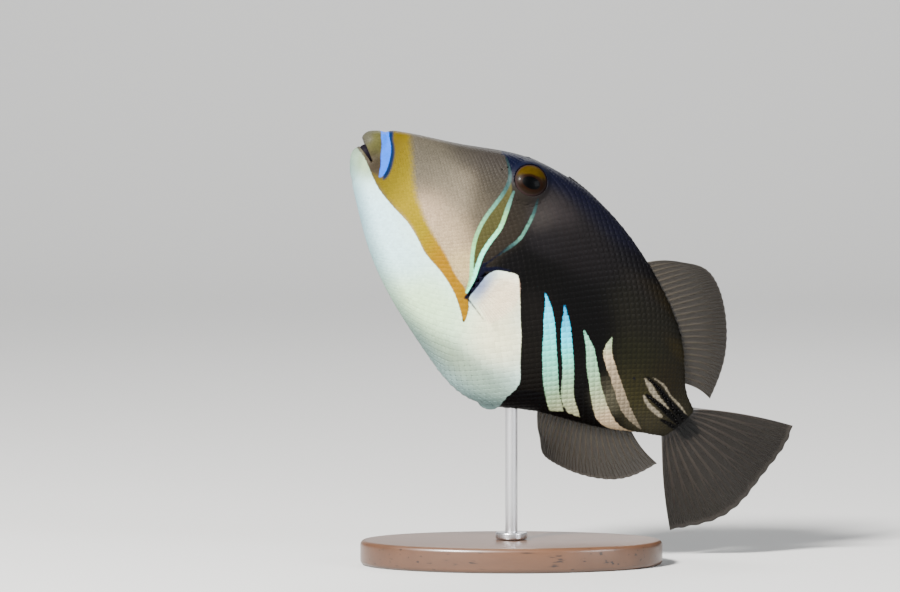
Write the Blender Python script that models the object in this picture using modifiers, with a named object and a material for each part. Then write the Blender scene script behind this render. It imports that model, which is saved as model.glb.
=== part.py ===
"""Picasso triggerfish, a still life-size display model: head, torso, tail stalk and fins on a base and rod.

Metres, +Z up. The origin is the middle of the stand base's underside. The fish swims towards -X with its
nose up, and its left side faces -Y. Places on the body are given along the backbone, as shares of the
standard length from the snout (station), and across it, in the fish's own frame: aft, to its right, dorsal.
"""

import math

import bmesh
import bpy
import numpy as np
from mathutils import Matrix, Vector

STANDARD_LENGTH = 0.140  # snout to the end of the tail stalk
GAP = 0.0003  # kept between pieces that touch
SHARP_EDGE = 35.0  # edges that turn by more are shaded sharp

# Pose: the backbone is straight up to BEND_START, then turns aside and droops towards the tail.
NOSE_UP = 36.4
NOSE_IN = 8.0
BEND_START = 0.5
TAIL_BEND = 12.0
TAIL_DROOP = 13.0
SNOUT_HEIGHT = 0.1325
BACKBONE_STEPS = 400

# Outline of the body, as (station, distance from the backbone), both in standard lengths.
BACK_OUTLINE = [
    (0.00, 0.077),
    (0.04, 0.1005),
    (0.18, 0.165),
    (0.30, 0.223),
    (0.40, 0.247),
    (0.50, 0.249),
    (0.60, 0.231),
    (0.77, 0.170),
    (0.88, 0.110),
    (0.95, 0.058),
    (1.00, 0.043),
]
BELLY_OUTLINE = [
    (0.00, 0.030),
    (0.04, 0.063),
    (0.14, 0.145),
    (0.25, 0.210),
    (0.40, 0.269),
    (0.52, 0.298),
    (0.59, 0.286),
    (0.70, 0.230),
    (0.88, 0.142),
    (0.96, 0.081),
    (1.00, 0.052),
]
HALF_WIDTH = [
    (0.00, 0.040),
    (0.05, 0.046),
    (0.15, 0.062),
    (0.30, 0.086),
    (0.43, 0.100),
    (0.56, 0.096),
    (0.72, 0.072),
    (0.86, 0.043),
    (1.00, 0.021),
]
# How pointed a section is above and below its widest level: 1 is an ellipse, more is sharper.
BACK_SHARPNESS = [(0.0, 0.75), (0.2, 0.72), (0.36, 0.62), (0.5, 0.95), (0.8, 1.2), (1.0, 0.9)]
BELLY_SHARPNESS = [(0.0, 0.8), (0.12, 1.0), (0.35, 1.12), (0.8, 1.1), (1.0, 0.9)]
WIDEST_LEVEL_SHARE = 0.5  # of the way from the backbone to the middle of the section
CREST_HALF_WIDTH = 0.0008  # the narrow flat along back and belly that carries the fins
BODY_FRONT = 0.004
SNOUT_DOME = 0.036  # the length over which the snout rounds off, in front
DOME_STATIONS = 7
SNOUT_TIP = 0.25  # the dome's foremost section, as a share of the full one
BODY_STATIONS = 50
SECTION_STEPS = 16  # from belly to back on one side

# Cuts between head and torso (it leans, to pass behind the eye and before the pectoral fin) and tail stalk.
HEAD_CUT_STATION = 0.3935
HEAD_CUT_LEAN = 6.0
STALK_CUT_STATION = 0.84

# Head
EYE_STATION = 0.349
EYE_LEVEL = 0.194
EYE_RADIUS = 0.0061
EYE_DEPTH = 0.0040  # half of its thickness across the head
EYE_SINK = 0.0022
EYE_OPENING = 0.0055  # radius of the round opening in the skin
EYE_OPENING_RISE = 0.0019  # where the opening starts, above the middle of the ball
EYE_LOOKS_UP = 25.0
EYE_LOOKS_AHEAD = 8.0
EYE_BULGE = 0.0009
EYE_BULGE_REACH = 0.0085
ORBIT_RADIUS = 0.0076
ORBIT_DEPTH = 0.0041
ORBIT_SINK = 0.0005
NOSTRIL_RADIUS = 0.00055
NOSTRIL_DEPTH = 0.0012
NOSTRILS = [(0.290, 0.187), (0.282, 0.175)]
LIPS = {
    "upper": dict(station=0.042, level=0.0445, semi_axes=(0.0078, 0.0062, 0.0046)),
    "lower": dict(station=0.039, level=-0.0090, semi_axes=(0.0073, 0.0058, 0.0045)),
}
LIP_SLOPE = 15.0
MOUTH_SLOPE = 20.0  # the line of the mouth falls aft
MOUTH_FRONT_LEVEL = 0.0239
MOUTH_FRONT = -0.03
MOUTH_CORNER = 0.052
MOUTH_GAPE = 0.0034
MOUTH_CORNER_SHARE = 0.16
MOUTH_CUT_WIDTH = 0.02  # more than the snout's, so that the mouth opens on both sides
GILL_SLIT = dict(station=0.398, low=-0.090, high=-0.020, width=0.0007, depth=0.0016)

# Fins, in standard lengths, from the first ray (0) to the last (1): where the rays' tips come and how far
# they swing to the fish's right.
DORSAL_FIN = dict(
    base=(0.677, 0.930),
    rays=24,
    tip_station=[(0.0, 0.732), (0.12, 0.774), (0.3, 0.830), (0.5, 0.890), (0.75, 0.962), (1.0, 1.008)],
    tip_level=[(0.0, 0.253), (0.12, 0.280), (0.3, 0.281), (0.5, 0.249), (0.75, 0.178), (1.0, 0.088)],
    swing=[(0.0, 0.010), (0.3, 0.048), (0.6, 0.040), (0.85, 0.016), (1.0, 0.004)],
)
ANAL_FIN = dict(
    base=(0.712, 0.930),
    rays=22,
    tip_station=[(0.0, 0.775), (0.12, 0.812), (0.3, 0.870), (0.5, 0.930), (0.75, 1.002), (1.0, 1.040)],
    tip_level=[(0.0, -0.262), (0.12, -0.284), (0.3, -0.284), (0.5, -0.260), (0.75, -0.192), (1.0, -0.104)],
    swing=[(0.0, -0.008), (0.35, 0.022), (0.7, -0.024), (1.0, -0.010)],
)
TAIL_FIN = dict(
    rays=14,
    length=[(0.0, 0.272), (0.5, 0.268), (1.0, 0.255)],  # by distance from the middle ray
    root_angle=41.5,
    tip_angle=28.0,
    tilt=2.5,
    cup=5.0,
    ripple=0.014,  # how far the margin waves to either side
    waves=1.6,
)
PECTORAL_FIN = dict(
    station=0.408,
    levels=(-0.102, -0.040),
    rays=13,
    length=[(0.0, 0.066), (0.45, 0.084), (0.8, 0.079), (1.0, 0.066)],
    fan=(-24.0, 34.0),
    stands_off=(37.5, 19.5),  # from the flank, at root and tip
)
# Half thickness of a fin's membrane and of its rays, from root to margin.
MEMBRANE = [(0.0, 0.00065), (0.12, 0.00040), (0.3, 0.00029), (1.0, 0.00024)]
RAY = [(0.0, 0.00065), (0.12, 0.00054), (0.5, 0.00046), (1.0, 0.00028)]
TAIL_ROOT_INSET = 0.0004  # kept free above and below the tail fin's root
TAIL_ROOT_EXTRA = [(0.0, 0.0011), (0.2, 0.0), (1.0, 0.0)]
FIN_ROWS = [0.0, 0.07, 0.2, 0.4, 0.6, 0.8, 1.0]
SCALLOP = 0.03  # how far the margin draws in between two rays
FIN_BOW = 0.006  # how far a ray bows forward
FIN_CURL = 1.5  # how late along a ray it swings aside

# The first dorsal spine, folded down in its groove.
TRIGGER_SPINE = dict(base=0.428, tip=0.565, radius=0.0012, tip_radius=0.0004, sunk=0.0006)
SPINE_POINTS = 9

# The knob at the end of the pelvis, lying aft along the keel.
PELVIC_KNOB = dict(station=0.598, level=-0.281, semi_axes=(0.0034, 0.0014, 0.0018), slope=24.0)

# Rows of small hooked spines on the tail stalk, by (station, level) of their first and last spines.
SPINE_ROWS = [((0.856, 0.016), (0.990, 0.021)), ((0.874, -0.012), (0.990, 0.009)), ((0.955, -0.027), (0.990, -0.017))]
SPINE_SPACING = 0.0023
SPINE_HEIGHT = 0.0012
SPINE_RADIUS = 0.0006
SPINE_TIP_RADIUS = 0.00007
SPINE_ROOT = 0.0005
SPINE_HOOK = 35.0

# Stand
ROD_STATION = 0.655
ROD_RADIUS = 0.002
ROD_IN_BODY = 0.010
ROD_IN_BASE = 0.004
BASE_SIZE = (0.098, 0.064, 0.008)
BASE_EDGE = 0.0015
COLLAR_RADIUS = 0.0052
COLLAR_HEIGHT = 0.0022

COLOURS = {  # red, green, blue, roughness, metallic
    "head": (0.62, 0.58, 0.52, 0.45, 0.0),
    "torso": (0.10, 0.09, 0.08, 0.45, 0.0),
    "stalk": (0.20, 0.19, 0.12, 0.45, 0.0),
    "eye": (0.45, 0.28, 0.03, 0.12, 0.0),
    "fin": (0.42, 0.39, 0.37, 0.40, 0.0),
    "spine": (0.05, 0.05, 0.05, 0.40, 0.0),
    "base": (0.11, 0.07, 0.05, 0.35, 0.0),
    "rod": (0.70, 0.70, 0.72, 0.25, 1.0),
}


def spline(points):
    """Natural cubic curve through (position, value) points, as a function that stops at both ends."""
    x, y = np.array(points, float).T
    count = len(x)
    step = np.diff(x)
    system, sums = np.eye(count), np.zeros(count)
    for i in range(1, count - 1):
        system[i, i - 1 : i + 2] = step[i - 1], 2 * (step[i - 1] + step[i]), step[i]
        sums[i] = 6 * ((y[i + 1] - y[i]) / step[i] - (y[i] - y[i - 1]) / step[i - 1])
    bend = np.linalg.solve(system, sums)

    def value(at):
        at = min(max(at, x[0]), x[-1])
        i = min(int(np.searchsorted(x, at, "right")) - 1, count - 2)
        left, right, h = x[i + 1] - at, at - x[i], step[i]
        curved = (bend[i] * left**3 + bend[i + 1] * right**3) / (6 * h)
        straight = (y[i] / h - bend[i] * h / 6) * left + (y[i + 1] / h - bend[i + 1] * h / 6) * right
        return float(curved + straight)

    return value


def ramp(points):
    """Straight runs between (position, value) points, as a function."""
    x, y = zip(*points)
    return lambda at: float(np.interp(at, x, y))


back = spline(BACK_OUTLINE)
belly = spline(BELLY_OUTLINE)
half_width = spline(HALF_WIDTH)
back_sharpness = spline(BACK_SHARPNESS)
belly_sharpness = spline(BELLY_SHARPNESS)


def ease(share):
    share = min(max(share, 0.0), 1.0)
    return share * share * (3 - 2 * share)


def directions(station):
    """Unit vectors aft, to the fish's right and dorsal at a station."""
    turn = ease((station - BEND_START) / (1 - BEND_START))
    droop = math.radians(NOSE_UP + TAIL_DROOP * turn)
    bend = math.radians(NOSE_IN + TAIL_BEND * turn)
    level = Vector((math.cos(droop), 0, -math.sin(droop)))
    aside = Vector((0, 1, 0))
    aft = level * math.cos(bend) + aside * math.sin(bend)
    right = aside * math.cos(bend) - level * math.sin(bend)
    return aft, right, Vector((math.sin(droop), 0, math.cos(droop)))


def backbone_points():
    """Points along the backbone at even stations, from a snout at the origin."""
    points = [Vector((0, 0, 0))]
    for i in range(BACKBONE_STEPS):
        aft = directions((i + 0.5) / BACKBONE_STEPS)[0]
        points.append(points[-1] + aft * STANDARD_LENGTH / BACKBONE_STEPS)
    return points


BACKBONE = backbone_points()


def from_snout(station):
    """The backbone's place at a station, counted from the snout; it runs on straight past both ends."""
    at = min(max(station, 0.0), 1.0) * BACKBONE_STEPS
    i = min(int(at), BACKBONE_STEPS - 1)
    place = BACKBONE[i].lerp(BACKBONE[i + 1], at - i)
    beyond = station - min(max(station, 0.0), 1.0)
    return place + directions(station)[0] * beyond * STANDARD_LENGTH


def keel_from_snout(station):
    return from_snout(station) - directions(station)[2] * belly(station) * STANDARD_LENGTH


keel = keel_from_snout(ROD_STATION)
SNOUT = Vector((-keel.x, -keel.y, SNOUT_HEIGHT))


def frame_at(station):
    """A matrix whose axes are aft, right and dorsal, at the backbone's place."""
    axes = Matrix(directions(station)).transposed().to_4x4()
    axes.translation = SNOUT + from_snout(station)
    return axes


def levels(station):
    """Heights of back, belly and widest part of a section above the backbone, in metres."""
    top = back(station) * STANDARD_LENGTH
    bottom = -belly(station) * STANDARD_LENGTH
    return top, bottom, WIDEST_LEVEL_SHARE * (top + bottom) / 2


def eye_bulge(station, height):
    """How far the flank stands out around the eye."""
    along = (station - EYE_STATION) * STANDARD_LENGTH / EYE_BULGE_REACH
    up = (height - EYE_LEVEL * STANDARD_LENGTH) / EYE_BULGE_REACH
    return EYE_BULGE * math.exp(-(along**2) - up**2)


def section_point(station, angle):
    """(half width, height) of a section; the angle runs from -90 at the belly to 90 at the back."""
    top, bottom, middle = levels(station)
    turn = math.radians(angle)
    reach = top - middle if angle > 0 else middle - bottom
    sharpness = (back_sharpness if angle > 0 else belly_sharpness)(station)
    wide = half_width(station) * STANDARD_LENGTH - CREST_HALF_WIDTH
    height = middle + reach * math.sin(turn)
    flank = wide * max(math.cos(turn), 0.0) ** sharpness
    return CREST_HALF_WIDTH + flank + eye_bulge(station, height) * math.cos(turn) ** 0.5, height


def flank_angle(station, height):
    """The section angle whose point lies at this height."""
    top, bottom, middle = levels(station)
    reach = top - middle if height > middle else middle - bottom
    return math.degrees(math.asin(min(max((height - middle) / reach, -0.999), 0.999)))


def flank_point(station, level, side):
    """A point on the skin, at a level in standard lengths. side is 1 on the fish's right, -1 on its left."""
    height = level * STANDARD_LENGTH
    half, _ = section_point(station, flank_angle(station, height))
    return frame_at(station) @ Vector((0, side * half, height))


def flank_normal(station, level, side):
    reach = 0.004
    aft = flank_point(station + reach, level, side) - flank_point(station - reach, level, side)
    up = flank_point(station, level + reach, side) - flank_point(station, level - reach, side)
    return (up.cross(aft) * side).normalized()


def material(name):
    red, green, blue, roughness, metallic = COLOURS[name]
    made = bpy.data.materials.new(name)
    made.use_nodes = True
    shader = made.node_tree.nodes["Principled BSDF"]
    shader.inputs["Base Color"].default_value = (red, green, blue, 1)
    shader.inputs["Roughness"].default_value = roughness
    shader.inputs["Metallic"].default_value = metallic
    return made


def add_object(name, mesh, collection, finish=None):
    obj = bpy.data.objects.new(name, mesh)
    collection.objects.link(obj)
    if finish:
        mesh.materials.clear()
        mesh.materials.append(finish)
    return obj


def mesh_of(bm, name):
    bmesh.ops.recalc_face_normals(bm, faces=bm.faces)
    if bm.calc_volume(signed=True) < 0:
        bmesh.ops.reverse_faces(bm, faces=bm.faces)
    mesh = bpy.data.meshes.new(name)
    bm.to_mesh(mesh)
    bm.free()
    return mesh


def largest_shell(mesh):
    """Removes every loose shell of a mesh but the largest, by the box it fills."""
    bm = bmesh.new()
    bm.from_mesh(mesh)
    left, shells = set(bm.verts), []
    while left:
        shell, edge = set(), {left.pop()}
        while edge:
            shell |= edge
            edge = {e.other_vert(v) for v in edge for e in v.link_edges} - shell
        left -= shell
        shells.append(shell)

    def size(shell):
        points = np.array([v.co for v in shell])
        return float(np.prod(points.max(0) - points.min(0)))

    keep = max(shells, key=size)
    bmesh.ops.delete(bm, geom=[v for v in bm.verts if v not in keep], context="VERTS")
    bm.to_mesh(mesh)
    bm.free()


def apply_boolean(obj, others, operation):
    """Joins or cuts obj with a collection of closed mesh objects, applies it and removes them."""
    tools = bpy.data.collections.new("tools")
    bpy.context.scene.collection.children.link(tools)
    for other in others:
        for home in list(other.users_collection):
            home.objects.unlink(other)
        tools.objects.link(other)
    change = obj.modifiers.new(operation.lower(), "BOOLEAN")
    change.operation = operation
    change.operand_type = "COLLECTION"
    change.collection = tools
    change.solver = "EXACT"
    graph = bpy.context.evaluated_depsgraph_get()
    made = bpy.data.meshes.new_from_object(obj.evaluated_get(graph))
    obj.modifiers.remove(change)
    obj.data = made
    for other in others:
        bpy.data.objects.remove(other)
    bpy.data.collections.remove(tools)
    largest_shell(obj.data)


def body_mesh():
    """The whole body as one loft of sections, each a flat-crested oval."""
    bm = bmesh.new()
    rings = []
    dome_end = BODY_FRONT + SNOUT_DOME
    stations = [BODY_FRONT + SNOUT_DOME * (i / DOME_STATIONS) ** 2 for i in range(DOME_STATIONS)]
    stations += [dome_end + (1 - dome_end) * i / BODY_STATIONS for i in range(BODY_STATIONS + 1)]
    angles = [-90 + 180 * k / SECTION_STEPS for k in range(SECTION_STEPS + 1)]
    for station in stations:
        place = frame_at(station)
        ahead = max((dome_end - station) / SNOUT_DOME, 0.0)
        size = max(math.sqrt(1 - ahead**2), SNOUT_TIP)
        top, bottom, _ = levels(station)
        middle = (top + bottom) / 2
        half = [section_point(station, angle) for angle in angles]
        half = [(wide * size, middle + (height - middle) * size) for wide, height in half]
        ring = [(wide, height) for wide, height in half] + [(-wide, height) for wide, height in half[::-1]]
        rings.append([bm.verts.new(place @ Vector((0, wide, height))) for wide, height in ring])
    for near, far in zip(rings, rings[1:]):
        for k, (a, b) in enumerate(zip(near, near[1:] + near[:1])):
            following = (k + 1) % len(far)
            bm.faces.new((a, b, far[following], far[k]))
    bm.faces.new(rings[0])
    bm.faces.new(rings[-1])
    return mesh_of(bm, "body")


def slice_of(mesh, name, planes):
    """A copy of the mesh with the material before each plane kept. A plane is (point, direction away)."""
    bm = bmesh.new()
    bm.from_mesh(mesh)
    for point, away in planes:
        cut = bmesh.ops.bisect_plane(
            bm,
            geom=bm.verts[:] + bm.edges[:] + bm.faces[:],
            plane_co=point,
            plane_no=away,
            clear_outer=True,
        )
        rim = [e for e in cut["geom_cut"] if isinstance(e, bmesh.types.BMEdge)]
        bmesh.ops.edgeloop_fill(bm, edges=rim)
    return mesh_of(bm, name)


def body_cut(station, lean):
    """(point, direction aft) of a cut across the body, leaning forward below by so many degrees."""
    place = frame_at(station)
    aft = Matrix.Rotation(math.radians(lean), 3, place.col[1].xyz) @ place.col[0].xyz
    return place.translation, aft


def ball(name, matrix, collection, segments=20, rings=12):
    bm = bmesh.new()
    bmesh.ops.create_uvsphere(bm, u_segments=segments, v_segments=rings, radius=1.0)
    bm.transform(matrix)
    return add_object(name, mesh_of(bm, name), collection)


def rod_mesh(name, radius, low, high, sides=24):
    """An upright round bar at the origin, between two heights."""
    bm = bmesh.new()
    bmesh.ops.create_cone(
        bm, cap_ends=True, segments=sides, radius1=radius, radius2=radius, depth=high - low
    )
    bm.transform(Matrix.Translation((0, 0, (low + high) / 2)))
    return mesh_of(bm, name)


def tapered_tube(name, points, radii, collection):
    """A closed tube along points, with a radius at each, from a bevelled curve."""
    curve = bpy.data.curves.new(name, "CURVE")
    curve.dimensions = "3D"
    curve.bevel_depth = 1.0
    curve.bevel_resolution = 2
    curve.use_fill_caps = True
    line = curve.splines.new("POLY")
    line.points.add(len(points) - 1)
    for target, point, radius in zip(line.points, points, radii):
        target.co = (*point, 1)
        target.radius = radius
    source = add_object(name + "_curve", curve, collection)
    mesh = bpy.data.meshes.new_from_object(source.evaluated_get(bpy.context.evaluated_depsgraph_get()))
    bpy.data.objects.remove(source)
    bm = bmesh.new()
    bm.from_mesh(mesh)
    bmesh.ops.remove_doubles(bm, verts=bm.verts, dist=1e-6)
    return add_object(name, mesh_of(bm, name), collection)


def eye_matrix(side):
    """The eye's frame: X and Z across its face, Y out of the head, at the ball's centre."""
    surface = flank_point(EYE_STATION, EYE_LEVEL, side)
    aft, right, dorsal = directions(EYE_STATION)
    up, ahead = math.radians(EYE_LOOKS_UP), math.radians(EYE_LOOKS_AHEAD)
    out = right * side * math.cos(up) * math.cos(ahead) + dorsal * math.sin(up) - aft * math.sin(ahead)
    out.normalize()
    across = (aft - out * aft.dot(out)).normalized()
    axes = Matrix((across, out, across.cross(out))).transposed().to_4x4()
    axes.translation = surface - out * EYE_SINK
    return axes


def eye(side, collection):
    name = "eye_right" if side > 0 else "eye_left"
    shape = Matrix.Diagonal((EYE_RADIUS, EYE_DEPTH, EYE_RADIUS, 1))
    turn = Matrix.Rotation(math.radians(-90), 4, "X")  # the ball's pole faces out
    made = ball(name, eye_matrix(side) @ shape @ turn, collection)
    made.data.materials.append(material("eye"))
    made.data.shade_smooth()


def socket_cutters(side, collection):
    """The space round the ball of the eye, and the round opening over it."""
    outward = Matrix.Rotation(math.radians(-90), 4, "X")
    shape = Matrix.Diagonal((EYE_RADIUS + GAP, EYE_DEPTH + GAP, EYE_RADIUS + GAP, 1))
    space = ball("socket", eye_matrix(side) @ shape @ outward, collection, 24, 14)
    top = 3 * EYE_DEPTH
    opening = add_object("opening", rod_mesh("opening", EYE_OPENING, EYE_OPENING_RISE, top, 32), collection)
    opening.data.transform(eye_matrix(side) @ outward)
    return [space, opening]


def orbit(side, collection):
    """The mound of skin that the eye sits in; its cut edge is the rim."""
    outward = Matrix.Rotation(math.radians(-90), 4, "X")
    shape = Matrix.Diagonal((ORBIT_RADIUS, ORBIT_DEPTH, ORBIT_RADIUS, 1))
    sunk = Matrix.Translation((0, -ORBIT_SINK, 0))
    return ball("orbit", eye_matrix(side) @ sunk @ shape @ outward, collection, 24, 14)


def swelling(name, shape, slope, collection, segments=24, rings=14):
    """An ellipsoid on the middle of the body, falling aft by a slope."""
    level = Matrix.Translation((0, 0, shape["level"] * STANDARD_LENGTH))
    tilt = Matrix.Rotation(math.radians(slope), 4, "Y")
    place = frame_at(shape["station"]) @ level @ tilt
    return ball(name, place @ Matrix.Diagonal((*shape["semi_axes"], 1)), collection, segments, rings)


def mouth_cutter(collection):
    """A wedge that opens the mouth from its front to its corner, right across the snout."""
    bm = bmesh.new()
    bmesh.ops.create_cube(bm, size=1.0)
    front, corner = MOUTH_FRONT * STANDARD_LENGTH, MOUTH_CORNER * STANDARD_LENGTH
    for v in bm.verts:
        v.co.z *= MOUTH_GAPE * (MOUTH_CORNER_SHARE if v.co.x > 0 else 1)
        v.co.x = corner if v.co.x > 0 else front
        v.co.y *= MOUTH_CUT_WIDTH
    tilt = Matrix.Rotation(math.radians(MOUTH_SLOPE), 4, "Y")
    level = Matrix.Translation((0, 0, MOUTH_FRONT_LEVEL * STANDARD_LENGTH))
    bm.transform(frame_at(0) @ level @ tilt)
    return add_object("mouth", mesh_of(bm, "mouth"), collection)


def nostril_cutter(station, level, side, collection):
    point, out = flank_point(station, level, side), flank_normal(station, level, side)
    bm = bmesh.new()
    bmesh.ops.create_cone(
        bm, cap_ends=True, segments=8, radius1=NOSTRIL_RADIUS, radius2=NOSTRIL_RADIUS, depth=2 * NOSTRIL_DEPTH
    )
    bm.transform(Matrix.Translation(point) @ out.to_track_quat("Z", "Y").to_matrix().to_4x4())
    return add_object("nostril", mesh_of(bm, "nostril"), collection)


def gill_cutter(side, collection):
    """A thin plate set into the flank, before the pectoral fin."""
    rows = 6
    bm = bmesh.new()
    grid = []
    for i in range(rows + 1):
        level = GILL_SLIT["low"] + (GILL_SLIT["high"] - GILL_SLIT["low"]) * i / rows
        point = flank_point(GILL_SLIT["station"], level, side)
        out = flank_normal(GILL_SLIT["station"], level, side)
        aft = directions(GILL_SLIT["station"])[0] * GILL_SLIT["width"] / 2
        inner, outer = point - out * GILL_SLIT["depth"], point + out * GILL_SLIT["depth"]
        grid.append([bm.verts.new(p) for p in (inner - aft, inner + aft, outer + aft, outer - aft)])
    for near, far in zip(grid, grid[1:]):
        for k in range(4):
            after = (k + 1) % 4
            bm.faces.new((near[k], near[after], far[after], far[k]))
    bm.faces.new(grid[0])
    bm.faces.new(grid[-1])
    return add_object("gill", mesh_of(bm, "gill"), collection)


def stalk_spine(station, level, side, collection):
    """One small spine that hooks forward from the flank, its root sunk in the skin."""
    point, out = flank_point(station, level, side), flank_normal(station, level, side)
    forward = -directions(station)[0]
    hook = math.radians(SPINE_HOOK)
    lie = (out * math.cos(hook) + forward * math.sin(hook)).normalized()
    height = SPINE_HEIGHT + SPINE_ROOT
    bm = bmesh.new()
    bmesh.ops.create_cone(
        bm, cap_ends=True, segments=5, radius1=SPINE_RADIUS, radius2=SPINE_TIP_RADIUS, depth=height
    )
    bm.transform(Matrix.Translation((0, 0, height / 2 - SPINE_ROOT)))
    bm.transform(Matrix.Translation(point) @ lie.to_track_quat("Z", "Y").to_matrix().to_4x4())
    return add_object("spine", mesh_of(bm, "spine"), collection)


def stalk_spines(collection):
    made = []
    for side in (1, -1):
        for (first, first_level), (last, last_level) in SPINE_ROWS:
            count = int((last - first) * STANDARD_LENGTH / SPINE_SPACING) + 1
            for i in range(count):
                share = i * SPINE_SPACING / STANDARD_LENGTH / (last - first)
                station = first + (last - first) * share
                level = first_level + (last_level - first_level) * share
                made.append(stalk_spine(station, level, side, collection))
    return made


def vane(name, centres, across, finish, collection):
    """A closed thin sheet. centres and across are grids by ray and row, across half the thickness there."""
    bm = bmesh.new()
    faces = []
    for sign in (1, -1):
        grid = [[bm.verts.new(c + a * sign) for c, a in zip(*pair)] for pair in zip(centres, across)]
        faces.append(grid)
    front, rear = faces
    rays, rows = len(front), len(front[0])
    for i in range(rays - 1):
        for j in range(rows - 1):
            for grid, flip in ((front, False), (rear, True)):
                a, b, c, d = grid[i][j], grid[i + 1][j], grid[i + 1][j + 1], grid[i][j + 1]
                split = ((a, b, c), (a, c, d)) if i % 2 else ((a, b, d), (b, c, d))
                for corners in split:
                    bm.faces.new(corners[::-1] if flip else corners)
    rim = [(i, 0) for i in range(rays)] + [(rays - 1, j) for j in range(1, rows)]
    rim += [(i, rows - 1) for i in range(rays - 2, -1, -1)] + [(0, j) for j in range(rows - 2, 0, -1)]
    for (i, j), (k, m) in zip(rim, rim[1:] + rim[:1]):
        a, b, c, d = front[k][m], front[i][j], rear[i][j], rear[k][m]
        bm.faces.new((a, b, c))
        bm.faces.new((a, c, d))
    return add_object(name, mesh_of(bm, name), collection, finish)


def sheet_normal(grid, i, j):
    """Unit normal of a grid of points at one of them."""
    rays, rows = len(grid), len(grid[0])
    aside = grid[min(i + 1, rays - 1)][j] - grid[max(i - 1, 0)][j]
    along = grid[i][min(j + 1, rows - 1)] - grid[i][max(j - 1, 0)]
    return aside.cross(along).normalized()


def fin_thickness(grid, root_across, extra=None):
    """Half thickness vectors: rays at even columns, membrane between, the root row set by root_across."""
    membrane, ray = ramp(MEMBRANE), ramp(RAY)
    across = []
    for i, column in enumerate(grid):
        vectors = []
        for j, share in enumerate(FIN_ROWS):
            half = (membrane if i % 2 else ray)(share) + (extra(share) if extra else 0)
            direction = root_across[i] if j == 0 else sheet_normal(grid, i, j)
            vectors.append(direction.normalized() * half)
        if vectors[0].dot(vectors[1]) < 0:
            vectors[0].negate()
        across.append(vectors)
    return across


def reach_of(share, column):
    """A fin row's distance along its ray; the margin draws in a little between rays."""
    return share * (1 - SCALLOP * (column % 2) * share)


def median_fin(name, shape, dorsal_side, finish, collection):
    """The soft dorsal fin or the anal fin, set along the crest of back or belly."""
    first, last = shape["base"]
    tip_station, tip_level, swing = (spline(shape[key]) for key in ("tip_station", "tip_level", "swing"))
    outline = back if dorsal_side > 0 else belly
    columns = 2 * shape["rays"] - 1
    grid, root_across = [], []
    for i in range(columns):
        share = i / (columns - 1)
        station = first + (last - first) * share
        level = dorsal_side * (outline(station) + GAP / STANDARD_LENGTH)
        column = []
        for row in FIN_ROWS:
            reach = reach_of(row, i)
            bow = FIN_BOW * math.sin(math.pi * reach) * dorsal_side
            along = station + (tip_station(share) - station) * reach
            height = (level + (tip_level(share) - level) * reach + bow) * STANDARD_LENGTH
            aside = swing(share) * reach**FIN_CURL * STANDARD_LENGTH
            column.append(frame_at(along) @ Vector((0, aside, height)))
        grid.append(column)
        root_across.append(directions(station)[1])
    return vane(name, grid, fin_thickness(grid, root_across), finish, collection)


def tail_fin(finish, collection):
    columns = 2 * TAIL_FIN["rays"] - 1
    aft, right, dorsal = directions(1.0)
    end = frame_at(1.0).translation + aft * GAP
    top, bottom, _ = levels(1.0)
    length_of = spline(TAIL_FIN["length"])
    grid = []
    for i in range(columns):
        share = 2 * i / (columns - 1) - 1
        length = length_of(abs(share)) * STANDARD_LENGTH
        middle, half = (top + bottom) / 2, (top - bottom) / 2 - TAIL_ROOT_INSET
        column = [end + dorsal * (middle + half * share)]
        for before, after in zip(FIN_ROWS, FIN_ROWS[1:]):
            along = (before + after) / 2
            spread = TAIL_FIN["root_angle"] * (1 - along) + TAIL_FIN["tip_angle"] * along
            angle = math.radians(spread * share + TAIL_FIN["tilt"])
            cup = math.radians(TAIL_FIN["cup"] * along)
            line = (aft * math.cos(cup) + right * math.sin(cup)) * math.cos(angle) + dorsal * math.sin(angle)
            column.append(column[-1] + line * length * (reach_of(after, i) - reach_of(before, i)))
        wave = TAIL_FIN["ripple"] * STANDARD_LENGTH * math.sin(math.pi * TAIL_FIN["waves"] * share)
        column = [point + right * wave * row**FIN_CURL for point, row in zip(column, FIN_ROWS)]
        grid.append(column)
    across = fin_thickness(grid, [right] * columns, ramp(TAIL_ROOT_EXTRA))
    return vane("tail_fin", grid, across, finish, collection)


def pectoral_fin(side, finish, collection):
    """A fan of rays from a short base on the flank, held a little off the body."""
    shape = PECTORAL_FIN
    columns = 2 * shape["rays"] - 1
    length = spline(shape["length"])
    low, high = shape["levels"]
    root_off, tip_off = shape["stands_off"]
    grid, root_across = [], []
    for i in range(columns):
        share = i / (columns - 1)
        level = low + (high - low) * share
        aft, right, dorsal = directions(shape["station"])
        out = flank_normal(shape["station"], level, side)
        point = flank_point(shape["station"], level, side) + out * GAP
        fan = math.radians(shape["fan"][0] + (shape["fan"][1] - shape["fan"][0]) * share)
        column = [point]
        for before, after in zip(FIN_ROWS, FIN_ROWS[1:]):
            along = (before + after) / 2
            off = math.radians(root_off * (1 - along) + tip_off * along)
            away = aft * math.cos(off) + right * side * math.sin(off)
            line = away * math.cos(fan) + dorsal * math.sin(fan)
            step = (reach_of(after, i) - reach_of(before, i)) * length(share) * STANDARD_LENGTH
            column.append(column[-1] + line * step)
        grid.append(column)
        root_across.append(aft.cross(out).cross(out))
    name = "pectoral_fin_right" if side > 0 else "pectoral_fin_left"
    return vane(name, grid, fin_thickness(grid, root_across), finish, collection)


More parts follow.
